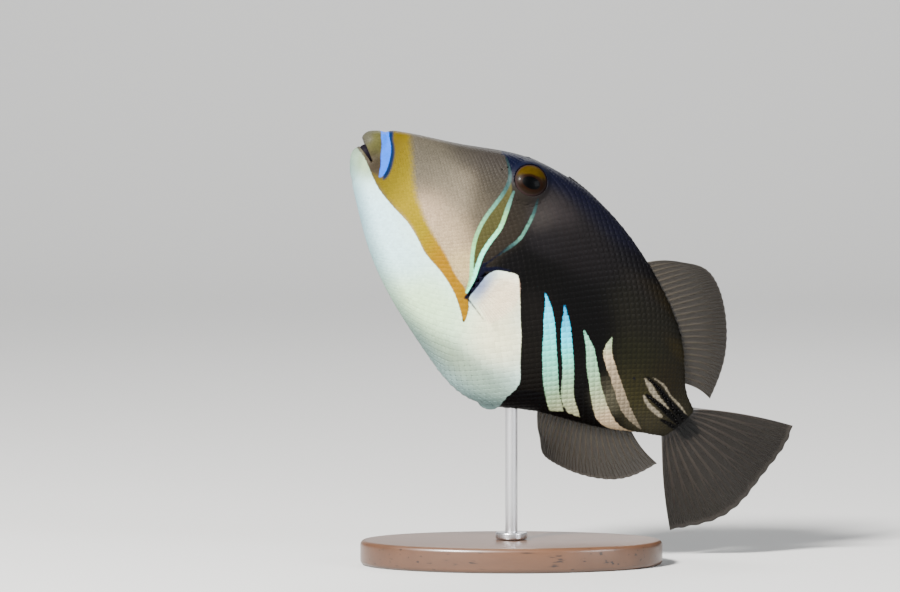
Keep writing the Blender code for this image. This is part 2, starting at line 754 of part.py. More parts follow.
def trigger_line(extra):
    """Points and radii of the folded spine, on the crest of the back; extra widens it for its groove."""
    shape = TRIGGER_SPINE
    points, radii = [], []
    for i in range(SPINE_POINTS):
        share = i / (SPINE_POINTS - 1)
        station = shape["base"] + (shape["tip"] - shape["base"]) * share
        radius = shape["radius"] + (shape["tip_radius"] - shape["radius"]) * share
        height = back(station) * STANDARD_LENGTH - shape["sunk"]
        points.append(frame_at(station) @ Vector((0, 0, height)))
        radii.append(radius + extra)
    if extra:
        points[0] = points[0] + (points[0] - points[1]).normalized() * extra
        points[-1] = points[-1] + (points[-1] - points[-2]).normalized() * extra
    return points, radii


def body_parts(collection, scratch):
    body = add_object("body", body_mesh(), scratch)
    added = [swelling("lip", shape, LIP_SLOPE, scratch) for shape in LIPS.values()]
    added += [orbit(side, scratch) for side in (1, -1)]
    added.append(swelling("knob", PELVIC_KNOB, -PELVIC_KNOB["slope"], scratch, 16, 10))
    apply_boolean(body, added, "UNION")
    whole = body.data
    place, aft = body_cut(HEAD_CUT_STATION, HEAD_CUT_LEAN)
    stalk_place, stalk_aft = body_cut(STALK_CUT_STATION, 0)
    half = GAP / 2
    head = add_object(
        "head", slice_of(whole, "head", [(place - aft * half, aft)]), collection, material("head")
    )
    torso_planes = [(place + aft * half, -aft), (stalk_place - stalk_aft * half, stalk_aft)]
    torso = add_object("torso", slice_of(whole, "torso", torso_planes), collection, material("torso"))
    stalk_planes = [(stalk_place + stalk_aft * half, -stalk_aft)]
    stalk = add_object("tail_stalk", slice_of(whole, "tail_stalk", stalk_planes), collection, material("stalk"))
    bpy.data.objects.remove(body)

    cutters = socket_cutters(1, scratch) + socket_cutters(-1, scratch) + [mouth_cutter(scratch)]
    cutters += [nostril_cutter(*spot, side, scratch) for spot in NOSTRILS for side in (1, -1)]
    apply_boolean(head, cutters, "DIFFERENCE")

    groove = tapered_tube("groove", *trigger_line(GAP), scratch)
    bore = add_object("bore", rod_mesh("bore", ROD_RADIUS + GAP, 0, rod_top() + GAP), scratch)
    gills = [gill_cutter(side, scratch) for side in (1, -1)]
    apply_boolean(torso, [groove, bore] + gills, "DIFFERENCE")

    apply_boolean(stalk, stalk_spines(scratch), "UNION")
    for obj in (head, torso, stalk):
        obj.data.shade_smooth()
        obj.data.set_sharp_from_angle(angle=math.radians(SHARP_EDGE))


def fins(collection):
    finish = material("fin")
    median_fin("dorsal_fin", DORSAL_FIN, 1, finish, collection)
    median_fin("anal_fin", ANAL_FIN, -1, finish, collection)
    tail_fin(finish, collection)
    for side in (1, -1):
        pectoral_fin(side, finish, collection)


def rod_top():
    keel_height = SNOUT_HEIGHT + keel_from_snout(ROD_STATION).z
    return keel_height + ROD_IN_BODY


def stand(collection):
    length, width, thickness = BASE_SIZE
    bm = bmesh.new()
    bmesh.ops.create_cone(bm, cap_ends=True, segments=48, radius1=0.5, radius2=0.5, depth=1)
    bm.transform(Matrix.Translation((0, 0, thickness / 2)) @ Matrix.Diagonal((length, width, thickness, 1)))
    base = add_object("stand_base", mesh_of(bm, "stand_base"), collection, material("base"))
    edge = base.modifiers.new("edge", "BEVEL")
    edge.width = BASE_EDGE
    edge.segments = 2
    edge.limit_method = "ANGLE"
    edge.angle_limit = math.radians(60)
    finish = material("rod")
    foot = thickness - ROD_IN_BASE
    hole = add_object("hole", rod_mesh("hole", ROD_RADIUS + GAP, foot - GAP, 2 * thickness), collection)
    graph = bpy.context.evaluated_depsgraph_get()
    base.data = bpy.data.meshes.new_from_object(base.evaluated_get(graph))
    base.modifiers.clear()
    apply_boolean(base, [hole], "DIFFERENCE")
    add_object("stand_rod", rod_mesh("stand_rod", ROD_RADIUS, foot, rod_top()), collection, finish)

    low, high = thickness + GAP, thickness + GAP + COLLAR_HEIGHT
    collar = add_object(
        "stand_collar", rod_mesh("stand_collar", COLLAR_RADIUS, low, high, 32), collection, finish
    )
    eye_of_collar = add_object("hole", rod_mesh("hole", ROD_RADIUS + GAP, 0, 3 * thickness), collection)
    apply_boolean(collar, [eye_of_collar], "DIFFERENCE")


def build():
    for obj in list(bpy.data.objects):
        bpy.data.objects.remove(obj)
    fish = bpy.data.collections.new("triggerfish")
    bpy.context.scene.collection.children.link(fish)
    body_parts(fish, fish)
    for side in (1, -1):
        eye(side, fish)
    fins(fish)
    tapered_tube("trigger_spine", *trigger_line(0), fish).data.materials.append(material("spine"))
    stand(fish)


build()
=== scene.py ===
import math
import random

import bmesh
import bpy
import numpy as np
from mathutils import Matrix, Vector
from mathutils.bvhtree import BVHTree


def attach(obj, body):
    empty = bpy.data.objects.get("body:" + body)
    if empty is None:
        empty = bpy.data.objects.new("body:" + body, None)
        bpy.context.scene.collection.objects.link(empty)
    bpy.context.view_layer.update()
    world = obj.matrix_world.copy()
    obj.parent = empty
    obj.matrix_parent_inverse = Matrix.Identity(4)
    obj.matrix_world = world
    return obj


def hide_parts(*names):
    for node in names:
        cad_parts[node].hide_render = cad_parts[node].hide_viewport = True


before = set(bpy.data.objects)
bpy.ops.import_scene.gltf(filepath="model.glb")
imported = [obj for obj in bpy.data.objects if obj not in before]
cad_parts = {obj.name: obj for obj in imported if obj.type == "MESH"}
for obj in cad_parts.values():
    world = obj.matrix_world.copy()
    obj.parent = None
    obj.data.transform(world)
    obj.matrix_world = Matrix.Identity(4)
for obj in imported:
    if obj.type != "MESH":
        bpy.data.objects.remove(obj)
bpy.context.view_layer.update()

# Metres and degrees. A station is a share of the body's length from the snout, and a level, a height
# or a half width in a list is a share of it from the backbone.
body = {
    "length": 0.140,        # snout to the end of the tail stalk
    "noseUp": 36.4,
    "noseIn": 8.0,
    "bendStart": 0.5,
    "tailBend": 12.0,
    "tailDroop": 13.0,
    "snoutHeight": 0.1325,
    "rodStation": 0.655,
    "back": [(0.00, 0.077), (0.04, 0.1005), (0.18, 0.165), (0.30, 0.223), (0.40, 0.247), (0.50, 0.249),
             (0.60, 0.231), (0.77, 0.170), (0.88, 0.110), (0.95, 0.058), (1.00, 0.043)],
    "belly": [(0.00, 0.030), (0.04, 0.063), (0.14, 0.145), (0.25, 0.210), (0.40, 0.269), (0.52, 0.298),
              (0.59, 0.286), (0.70, 0.230), (0.88, 0.142), (0.96, 0.081), (1.00, 0.052)],
    "halfWidth": [(0.00, 0.040), (0.05, 0.046), (0.15, 0.062), (0.30, 0.086), (0.43, 0.100), (0.56, 0.096),
                  (0.72, 0.072), (0.86, 0.043), (1.00, 0.021)],
    "backSharpness": [(0.0, 0.75), (0.2, 0.72), (0.36, 0.62), (0.5, 0.95), (0.8, 1.2), (1.0, 0.9)],
    "bellySharpness": [(0.0, 0.8), (0.12, 1.0), (0.35, 1.12), (0.8, 1.1), (1.0, 0.9)],
    "crest": 0.0008,
    "front": 0.004,
    "dome": 0.036,
    "domeTip": 0.25,
    "domeRings": 24,
    "rings": 260,
    "flankSteps": 81,
    "middleShare": 0.25,    # a section is widest at this share of its top plus its bottom
    "search": {"from": 0.3, "ends": (-0.1, 1.3), "steps": 14, "pace": 0.9},
}
length = body["length"]


def spline(points):
    # natural cubic curve through (position, value) points, for arrays
    x, y = np.array(points, float).T
    count = len(x)
    step = np.diff(x)
    system, sums = np.eye(count), np.zeros(count)
    for i in range(1, count - 1):
        system[i, i - 1:i + 2] = step[i - 1], 2 * (step[i - 1] + step[i]), step[i]
        sums[i] = 6 * ((y[i + 1] - y[i]) / step[i] - (y[i] - y[i - 1]) / step[i - 1])
    bend = np.linalg.solve(system, sums)

    def value(at):
        at = np.clip(np.asarray(at, float), x[0], x[-1])
        i = np.clip(np.searchsorted(x, at, "right") - 1, 0, count - 2)
        left, right, h = x[i + 1] - at, at - x[i], step[i]
        curved = (bend[i] * left**3 + bend[i + 1] * right**3) / (6 * h)
        return curved + (y[i] / h - bend[i] * h / 6) * left + (y[i + 1] / h - bend[i + 1] * h / 6) * right
    return value


def ramp(points):
    x, y = zip(*points)
    return lambda at: np.interp(at, x, y)


def ease(t):
    t = np.clip(t, 0.0, 1.0)
    return t * t * (3 - 2 * t)


def smoothStep(low, high, x):
    return ease((x - low) / (high - low))


def unit(vectors):
    return vectors / np.linalg.norm(vectors, axis=-1, keepdims=True)


back, belly, halfWidth = spline(body["back"]), spline(body["belly"]), spline(body["halfWidth"])
backSharpness, bellySharpness = spline(body["backSharpness"]), spline(body["bellySharpness"])


def directions(station):
    # unit vectors aft, to the fish's right and dorsal, as arrays (..., 3)
    station = np.asarray(station, float)
    turn = ease((station - body["bendStart"]) / (1 - body["bendStart"]))
    droop = np.radians(body["noseUp"] + body["tailDroop"] * turn)
    bend = np.radians(body["noseIn"] + body["tailBend"] * turn)
    zero = np.zeros_like(droop)
    level = np.stack([np.cos(droop), zero, -np.sin(droop)], -1)
    aside = np.stack([zero, zero + 1, zero], -1)
    cosine, sine = np.cos(bend)[..., None], np.sin(bend)[..., None]
    dorsal = np.stack([np.sin(droop), zero, np.cos(droop)], -1)
    return level * cosine + aside * sine, aside * cosine - level * sine, dorsal


backboneSteps = 400
middles = (np.arange(backboneSteps) + 0.5) / backboneSteps
backbone = np.vstack([np.zeros(3), np.cumsum(directions(middles)[0] * length / backboneSteps, axis=0)])
evenStations = np.linspace(0, 1, backboneSteps + 1)


def fromSnout(station):
    station = np.asarray(station, float)
    inside = np.clip(station, 0, 1)
    place = np.stack([np.interp(inside, evenStations, backbone[:, k]) for k in range(3)], -1)
    return place + directions(station)[0] * (station - inside)[..., None] * length


rodStation = body["rodStation"]
keel = fromSnout(rodStation) - directions(rodStation)[2] * belly(rodStation) * length
snout = np.array([-keel[0], -keel[1], body["snoutHeight"]])


def placeAt(station, aside, height):
    # a place from its station, and metres to the fish's right and above the backbone
    _, right, dorsal = directions(station)
    out, up = np.asarray(aside)[..., None], np.asarray(height)[..., None]
    return snout + fromSnout(station) + right * out + dorsal * up


def bodyPlace(places):
    # (station, metres aside, metres above the backbone) of places in the model
    search = body["search"]
    places = np.asarray(places, float)
    station = np.clip((places - snout) @ directions(search["from"])[0] / length, *search["ends"])
    for _ in range(search["steps"]):
        ahead = np.einsum("...k,...k", places - snout - fromSnout(station), directions(station)[0])
        station = station + ahead / length * search["pace"]
    _, right, dorsal = directions(station)
    away = places - snout - fromSnout(station)
    return station, np.einsum("...k,...k", away, right), np.einsum("...k,...k", away, dorsal)


def sectionPoint(station, angle):
    # half width and height of a section; the angle is -90 at the belly and 90 at the back
    station, turn = np.asarray(station, float), np.radians(angle)
    top, bottom = back(station) * length, -belly(station) * length
    middle = body["middleShare"] * (top + bottom)
    reach = np.where(turn > 0, top - middle, middle - bottom)
    sharpness = np.where(turn > 0, backSharpness(station), bellySharpness(station))
    wide = halfWidth(station) * length - body["crest"]
    height = middle + reach * np.sin(turn)
    cosine = np.maximum(np.cos(turn), 0.0)
    along = (station - eye["station"]) * length / eye["bulgeReach"]
    up = (height - eye["level"] * length) / eye["bulgeReach"]
    bulge = eye["bulge"] * np.exp(-along**2 - up**2) * np.sqrt(cosine)
    return body["crest"] + wide * cosine**sharpness + bulge, height


def sectionPlace(station, angle, side):
    half, height = sectionPoint(station, angle)
    return placeAt(station, side * half, height)


def flankAngle(station, level):
    top, bottom = back(station), -belly(station)
    middle = body["middleShare"] * (top + bottom)
    reach = np.where(level > middle, top - middle, middle - bottom)
    return np.degrees(np.arcsin(np.clip((level - middle) / reach, -0.999, 0.999)))


def flankPoint(station, level, side):
    half, _ = sectionPoint(station, flankAngle(station, level))
    return placeAt(station, side * half, np.asarray(level) * length)


def flankNormal(station, level, side, reach=0.004):
    aft = flankPoint(station + reach, level, side) - flankPoint(station - reach, level, side)
    up = flankPoint(station, level + reach, side) - flankPoint(station, level - reach, side)
    return unit(np.cross(up, aft) * side)


def meshFrom(name, verts, faces):
    mesh = bpy.data.meshes.new(name)
    mesh.from_pydata([tuple(v) for v in verts], [], [tuple(f) for f in faces])
    mesh.update()
    return mesh


def addObject(name, mesh):
    obj = bpy.data.objects.new(name, mesh)
    bpy.context.scene.collection.objects.link(obj)
    return obj


def plainMesh(obj):
    # the object with its modifiers, as a plain mesh
    graph = bpy.context.evaluated_depsgraph_get()
    made = bpy.data.meshes.new_from_object(obj.evaluated_get(graph))
    obj.modifiers.clear()
    old = obj.data
    obj.data = made
    bpy.data.meshes.remove(old)
    return obj


def orient(mesh):
    bm = bmesh.new()
    bm.from_mesh(mesh)
    bmesh.ops.recalc_face_normals(bm, faces=bm.faces)
    if bm.calc_volume(signed=True) < 0:
        bmesh.ops.reverse_faces(bm, faces=bm.faces)
    bm.to_mesh(mesh)
    bm.free()


def closedMesh(name, verts, faces):
    mesh = meshFrom(name, verts, faces)
    orient(mesh)
    return mesh


def closedObject(name, verts, faces):
    return addObject(name, closedMesh(name, verts, faces))


def vertexPlaces(mesh):
    places = np.empty(len(mesh.vertices) * 3)
    mesh.vertices.foreach_get("co", places)
    return places.reshape(-1, 3)


def setAttribute(mesh, name, values):
    held = mesh.attributes.get(name) or mesh.attributes.new(name, "FLOAT", "POINT")
    held.data.foreach_set("value", np.asarray(values, dtype=np.float32).ravel())


def bakeMap(mesh, u, v):
    # the OFBake map, from one (u, v) for each vertex
    layer = mesh.uv_layers.new(name="OFBake")
    corners = np.empty(len(mesh.loops), dtype=np.int32)
    mesh.loops.foreach_get("vertex_index", corners)
    layer.data.foreach_set("uv", np.stack([u[corners], v[corners]], -1).astype(np.float32).ravel())


def bmeshObject(name, bm, matrix):
    bm.transform(matrix)
    mesh = bpy.data.meshes.new(name)
    bm.to_mesh(mesh)
    bm.free()
    return addObject(name, mesh)


def ball(name, matrix, segments=48, rings=32):
    bm = bmesh.new()
    bmesh.ops.create_uvsphere(bm, u_segments=segments, v_segments=rings, radius=1.0)
    return bmeshObject(name, bm, matrix)


def rod(name, matrix, radius, low, high, sides=64):
    bm = bmesh.new()
    bmesh.ops.create_cone(bm, cap_ends=True, segments=sides, radius1=radius, radius2=radius, depth=high - low)
    return bmeshObject(name, bm, matrix @ Matrix.Translation((0, 0, (low + high) / 2)))


def evenTurns(count):
    return np.arange(count) * 2 * math.pi / count


def ringFaces(rings, around):
    # the faces between rings of vertices, one ring after another
    def corners(i, k):
        after = (k + 1) % around
        return i * around + k, i * around + after, (i + 1) * around + after, (i + 1) * around + k

    return [corners(i, k) for i in range(rings - 1) for k in range(around)]


def tube(name, places, radii, sides=12):
    # a closed tapering tube along places
    aft = unit(np.gradient(places, axis=0))
    first = unit(np.cross(aft, (0.0, 1.0, 0.1)))
    second = np.cross(aft, first)
    turns = evenTurns(sides)
    around = first[:, None] * np.cos(turns)[None, :, None] + second[:, None] * np.sin(turns)[None, :, None]
    rings = places[:, None] + np.asarray(radii)[:, None, None] * around
    count = len(places)
    verts = list(rings.reshape(-1, 3)) + [places[0], places[-1]]
    faces = ringFaces(count, sides)
    for k in range(sides):
        after = (k + 1) % sides
        faces.append((count * sides, after, k))
        faces.append((count * sides + 1, (count - 1) * sides + k, (count - 1) * sides + after))
    return closedObject(name, verts, faces)


def cutFrom(obj, cutters):
    tools = bpy.data.collections.new("tools")
    bpy.context.scene.collection.children.link(tools)
    for cutter in cutters:
        bpy.context.scene.collection.objects.unlink(cutter)
        tools.objects.link(cutter)
    change = obj.modifiers.new("change", "BOOLEAN")
    change.operation = "DIFFERENCE"
    change.operand_type = "COLLECTION"
    change.collection = tools
    change.solver = "MANIFOLD"
    plainMesh(obj)
    for cutter in cutters:
        bpy.data.objects.remove(cutter)
    bpy.data.collections.remove(tools)


eye = {
    "station": 0.349,
    "level": 0.194,
    "radius": 0.0061,
    "depth": 0.0040,
    "sink": 0.0022,
    "gap": 0.00025,
    "opening": 0.0055,
    "openingLow": 0.0016,
    "openingHigh": 0.012,
    "looksUp": 25.0,
    "looksAhead": 8.0,
    "bulge": 0.0009,
    "bulgeReach": 0.0085,
    "moundRadius": 0.0078,
    "moundDepth": 0.0041,
    "moundSink": 0.0005,
}
nostrils = {"places": [(0.290, 0.187), (0.282, 0.175)], "radius": 0.0003, "depth": 0.0009, "sides": 20}
mouth = {
    "slope": 25.0,
    "lipSlope": -36.0,
    "frontLevel": 0.0284,
    "ahead": 0.03,
    "corner": 0.038,
    "wide": 0.02,
    "gape": 0.0029,
    "cornerShare": 0.18,
    "lining": {"station": 0.021, "level": 0.0187, "axes": (0.0036, 0.0034, 0.0022), "fullness": 0.9},
    "upperLip": {"station": 0.0253, "level": 0.0437, "axes": (0.0047, 0.0058, 0.0053), "fullness": 0.70},
    "lowerLip": {"station": 0.0225, "level": -0.0110, "axes": (0.0034, 0.0046, 0.0061), "fullness": 0.78},
}
knob = {"station": 0.598, "level": -0.281, "axes": (0.0034, 0.0014, 0.0018), "fullness": 1.0, "slope": -24.0}
groove = {"base": 0.428, "tip": 0.565, "radius": 0.0012, "tipRadius": 0.0004, "sunk": 0.0006,
          "clearance": 0.0003}
gill = {
    "station": 0.3845,
    "bow": -0.0045,
    "levels": (-0.103, -0.038),
    "steps": 9,
    "half": 0.0004,
    "deep": 0.0015,
    "above": 0.002,
}
skin = {"voxel": 0.00052, "smoothing": 4}


def bodyFrame(station):
    # X aft, Y to the fish's right and Z dorsal
    axes = Matrix([Vector(v) for v in directions(station)]).transposed().to_4x4()
    axes.translation = Vector(snout + fromSnout(station))
    return axes


def eyeMatrix(side):
    # X and Z across the eye's face, Y out of the head, from the middle of the ball
    surface = Vector(flankPoint(eye["station"], eye["level"], side))
    aft, right, dorsal = (Vector(v) for v in directions(eye["station"]))
    up, ahead = math.radians(eye["looksUp"]), math.radians(eye["looksAhead"])
    out = right * side * math.cos(up) * math.cos(ahead) + dorsal * math.sin(up) - aft * math.sin(ahead)
    out.normalize()
    across = (aft - out * aft.dot(out)).normalized()
    axes = Matrix((across, out, across.cross(out))).transposed().to_4x4()
    axes.translation = surface - out * eye["sink"]
    return axes


outward = Matrix.Rotation(math.radians(-90), 4, "X")


def eyeBall(name, side, radius, depth, segments=48, rings=32, sink=0.0):
    # a flattened ball, facing as the eye does
    place = eyeMatrix(side) @ Matrix.Translation((0, -sink, 0)) @ Matrix.Diagonal((radius, depth, radius, 1))
    return ball(name, place @ outward, segments, rings)


def swelling(name, shape, slope):
    # fullness 1 is an ellipsoid, and less is boxier
    level = Matrix.Translation((0, 0, shape["level"] * length))
    place = bodyFrame(shape["station"]) @ level @ Matrix.Rotation(math.radians(slope), 4, "Y")
    piece = ball(name, Matrix.Identity(4))
    at = vertexPlaces(piece.data)
    at = np.sign(at) * np.abs(at) ** shape["fullness"] * shape["axes"]
    piece.data.vertices.foreach_set("co", at.astype(np.float32).ravel())
    piece.data.transform(place)
    return piece


def bodyLoft():
    domeEnd = body["front"] + body["dome"]
    inDome = body["front"] + body["dome"] * np.linspace(0, 1, body["domeRings"], endpoint=False) ** 2
    stations = np.concatenate([inDome, np.linspace(domeEnd, 1.0, body["rings"])])
    angles = np.linspace(-90, 90, body["flankSteps"])
    rings = []
    for station in stations:
        ahead = max((domeEnd - station) / body["dome"], 0.0)
        size = max(math.sqrt(1 - ahead**2), body["domeTip"])
        half, height = sectionPoint(station, angles)
        middle = (back(station) - belly(station)) * length / 2
        half, height = half * size, middle + (height - middle) * size
        aside = np.concatenate([half, -half[::-1]])
        rings.append(placeAt(np.full(len(aside), station), aside, np.concatenate([height, height[::-1]])))
    verts = np.array(rings)
    count, around = verts.shape[:2]
    ends = [tuple(range(around)), tuple(range((count - 1) * around, count * around))]
    return closedObject("skin", verts.reshape(-1, 3), ringFaces(count, around) + ends)


def mouthCutter():
    bm = bmesh.new()
    bmesh.ops.create_cube(bm, size=1.0)
    for v in bm.verts:
        v.co.z *= mouth["gape"] * (mouth["cornerShare"] if v.co.x > 0 else 1)
        v.co.x = (mouth["corner"] if v.co.x > 0 else -mouth["ahead"]) * length
        v.co.y *= mouth["wide"]
    tilt = Matrix.Rotation(math.radians(mouth["slope"]), 4, "Y")
    front = Matrix.Translation((0, 0, mouth["frontLevel"] * length))
    return bmeshObject("mouthCut", bm, bodyFrame(0) @ front @ tilt)


def gillCutter(side):
    # a narrow slot that slants aft into the skin
    levels = np.linspace(*gill["levels"], gill["steps"])
    station = gill["station"] + gill["bow"] * np.sin(np.linspace(0, math.pi, gill["steps"]))
    aft = directions(gill["station"])[0] * gill["half"]
    verts = []
    for p, out in zip(flankPoint(station, levels, side), flankNormal(station, levels, side)):
        low, high = p - out * gill["deep"], p + out * gill["above"]
        verts += [low + aft * 2, low + aft * 4, high + aft, high - aft]
    last = (gill["steps"] - 1) * 4
    ends = [(0, 1, 2, 3), tuple(range(last, last + 4))]
    return closedObject("gillCut", verts, ringFaces(gill["steps"], 4) + ends)


def spineLine(extra=0.0, count=24):
    share = np.linspace(0, 1, count)
    station = groove["base"] + (groove["tip"] - groove["base"]) * share
    radius = groove["radius"] + (groove["tipRadius"] - groove["radius"]) * share + extra
    return placeAt(station, np.zeros(count), back(station) * length - groove["sunk"]), radius


def buildSkin():
    whole = bodyLoft()
    added = [swelling(lip, mouth[lip], mouth["lipSlope"]) for lip in ("upperLip", "lowerLip")]
    added.append(swelling("knob", knob, knob["slope"]))
    for side in (1, -1):
        added.append(eyeBall("mound", side, eye["moundRadius"], eye["moundDepth"], sink=eye["moundSink"]))
    bpy.ops.object.select_all(action="DESELECT")
    for piece in added + [whole]:
        piece.select_set(True)
    bpy.context.view_layer.objects.active = whole
    bpy.ops.object.join()
    remesh = whole.modifiers.new("remesh", "REMESH")
    remesh.mode = "VOXEL"
    remesh.voxel_size = skin["voxel"]
    remesh.use_smooth_shade = True
    relax = whole.modifiers.new("relax", "SMOOTH")
    relax.factor = 0.5
    relax.iterations = skin["smoothing"]
    plainMesh(whole)
    cutters = [mouthCutter(), tube("grooveCut", *spineLine(groove["clearance"]))]
    for side in (1, -1):
        cutters.append(eyeBall("socket", side, eye["radius"] + eye["gap"], eye["depth"] + eye["gap"], 64, 40))
        cutters.append(rod("opening", eyeMatrix(side) @ outward, eye["opening"], eye["openingLow"],
                           eye["openingHigh"]))
        cutters.append(gillCutter(side))
        for station, level in nostrils["places"]:
            point, out = flankPoint(station, level, side), Vector(flankNormal(station, level, side))
            facing = Matrix.Translation(Vector(point)) @ out.to_track_quat("Z", "Y").to_matrix().to_4x4()
            cutters.append(rod("nostril", facing, nostrils["radius"], -nostrils["depth"], nostrils["depth"],
                               nostrils["sides"]))
    cutFrom(whole, cutters)
    return whole


def sideView(station, level):
    # millimetres on the side view
    return np.stack([station, level], -1) * length * 1000


def smoothLine(places, count=40):
    # a smooth curve through (station, level) places, as millimetres on the side view
    places = np.array(places, float) * length * 1000
    run = np.concatenate([[0], np.cumsum(np.linalg.norm(np.diff(places, axis=0), axis=1))])
    at = np.linspace(0, run[-1], count)
    return np.stack([spline(list(zip(run, places[:, k])))(at) for k in (0, 1)], -1)


def rounding(places, times=2):
    # a closed shape with its corners cut round, as millimetres on the side view
    shape = np.array(places, float) * length * 1000
    for _ in range(times):
        after = np.roll(shape, -1, axis=0)
        shape = np.stack([shape * 0.75 + after * 0.25, shape * 0.25 + after * 0.75], 1).reshape(-1, 2)
    return shape


farGap = 6.0    # millimetres; nothing farther from a marking's edge is measured


def lineGap(at, line):
    # millimetres from each place to the line, and how far along the line its nearest place is, 0 to 1
    gap, along = np.full(len(at), farGap), np.zeros(len(at))
    near = np.all((at > line.min(0) - farGap) & (at < line.max(0) + farGap), axis=1)
    start, step = line[:-1], np.diff(line, axis=0)
    size = np.maximum((step**2).sum(1), 1e-12)
    run = np.concatenate([[0], np.cumsum(np.sqrt(size))])
    for chunk in np.array_split(np.flatnonzero(near), max(1, near.sum() // 20000)):
        away = at[chunk][:, None] - start[None]
        share = np.clip((away * step[None]).sum(-1) / size, 0, 1)
        apart = np.linalg.norm(away - share[..., None] * step[None], axis=-1)
        best = apart.argmin(1)
        rows = np.arange(len(chunk))
        gap[chunk] = np.minimum(apart[rows, best], farGap)
        along[chunk] = (run[best] + share[rows, best] * np.sqrt(size[best])) / run[-1]
    return gap, along


def within(at, shape):
    # whether each place lies in the closed shape
    held = np.zeros(len(at), bool)
    for (x0, y0), (x1, y1) in zip(shape, np.roll(shape, -1, axis=0)):
        crosses = (y0 > at[:, 1]) != (y1 > at[:, 1])
        if crosses.any():
            with np.errstate(divide="ignore", invalid="ignore"):
                held ^= crosses & (at[:, 0] < x0 + (at[:, 1] - y0) * (x1 - x0) / (y1 - y0))
    return held


def region(at, shape):
    # millimetres inside a closed shape, negative outside it
    closed = np.vstack([shape, shape[:1]])
    gap, _ = lineGap(at, closed)
    return np.where(within(at, shape), gap, -gap)


def between(left, right, count=30):
    return np.vstack([smoothLine(left, count), smoothLine(right, count)[::-1]])


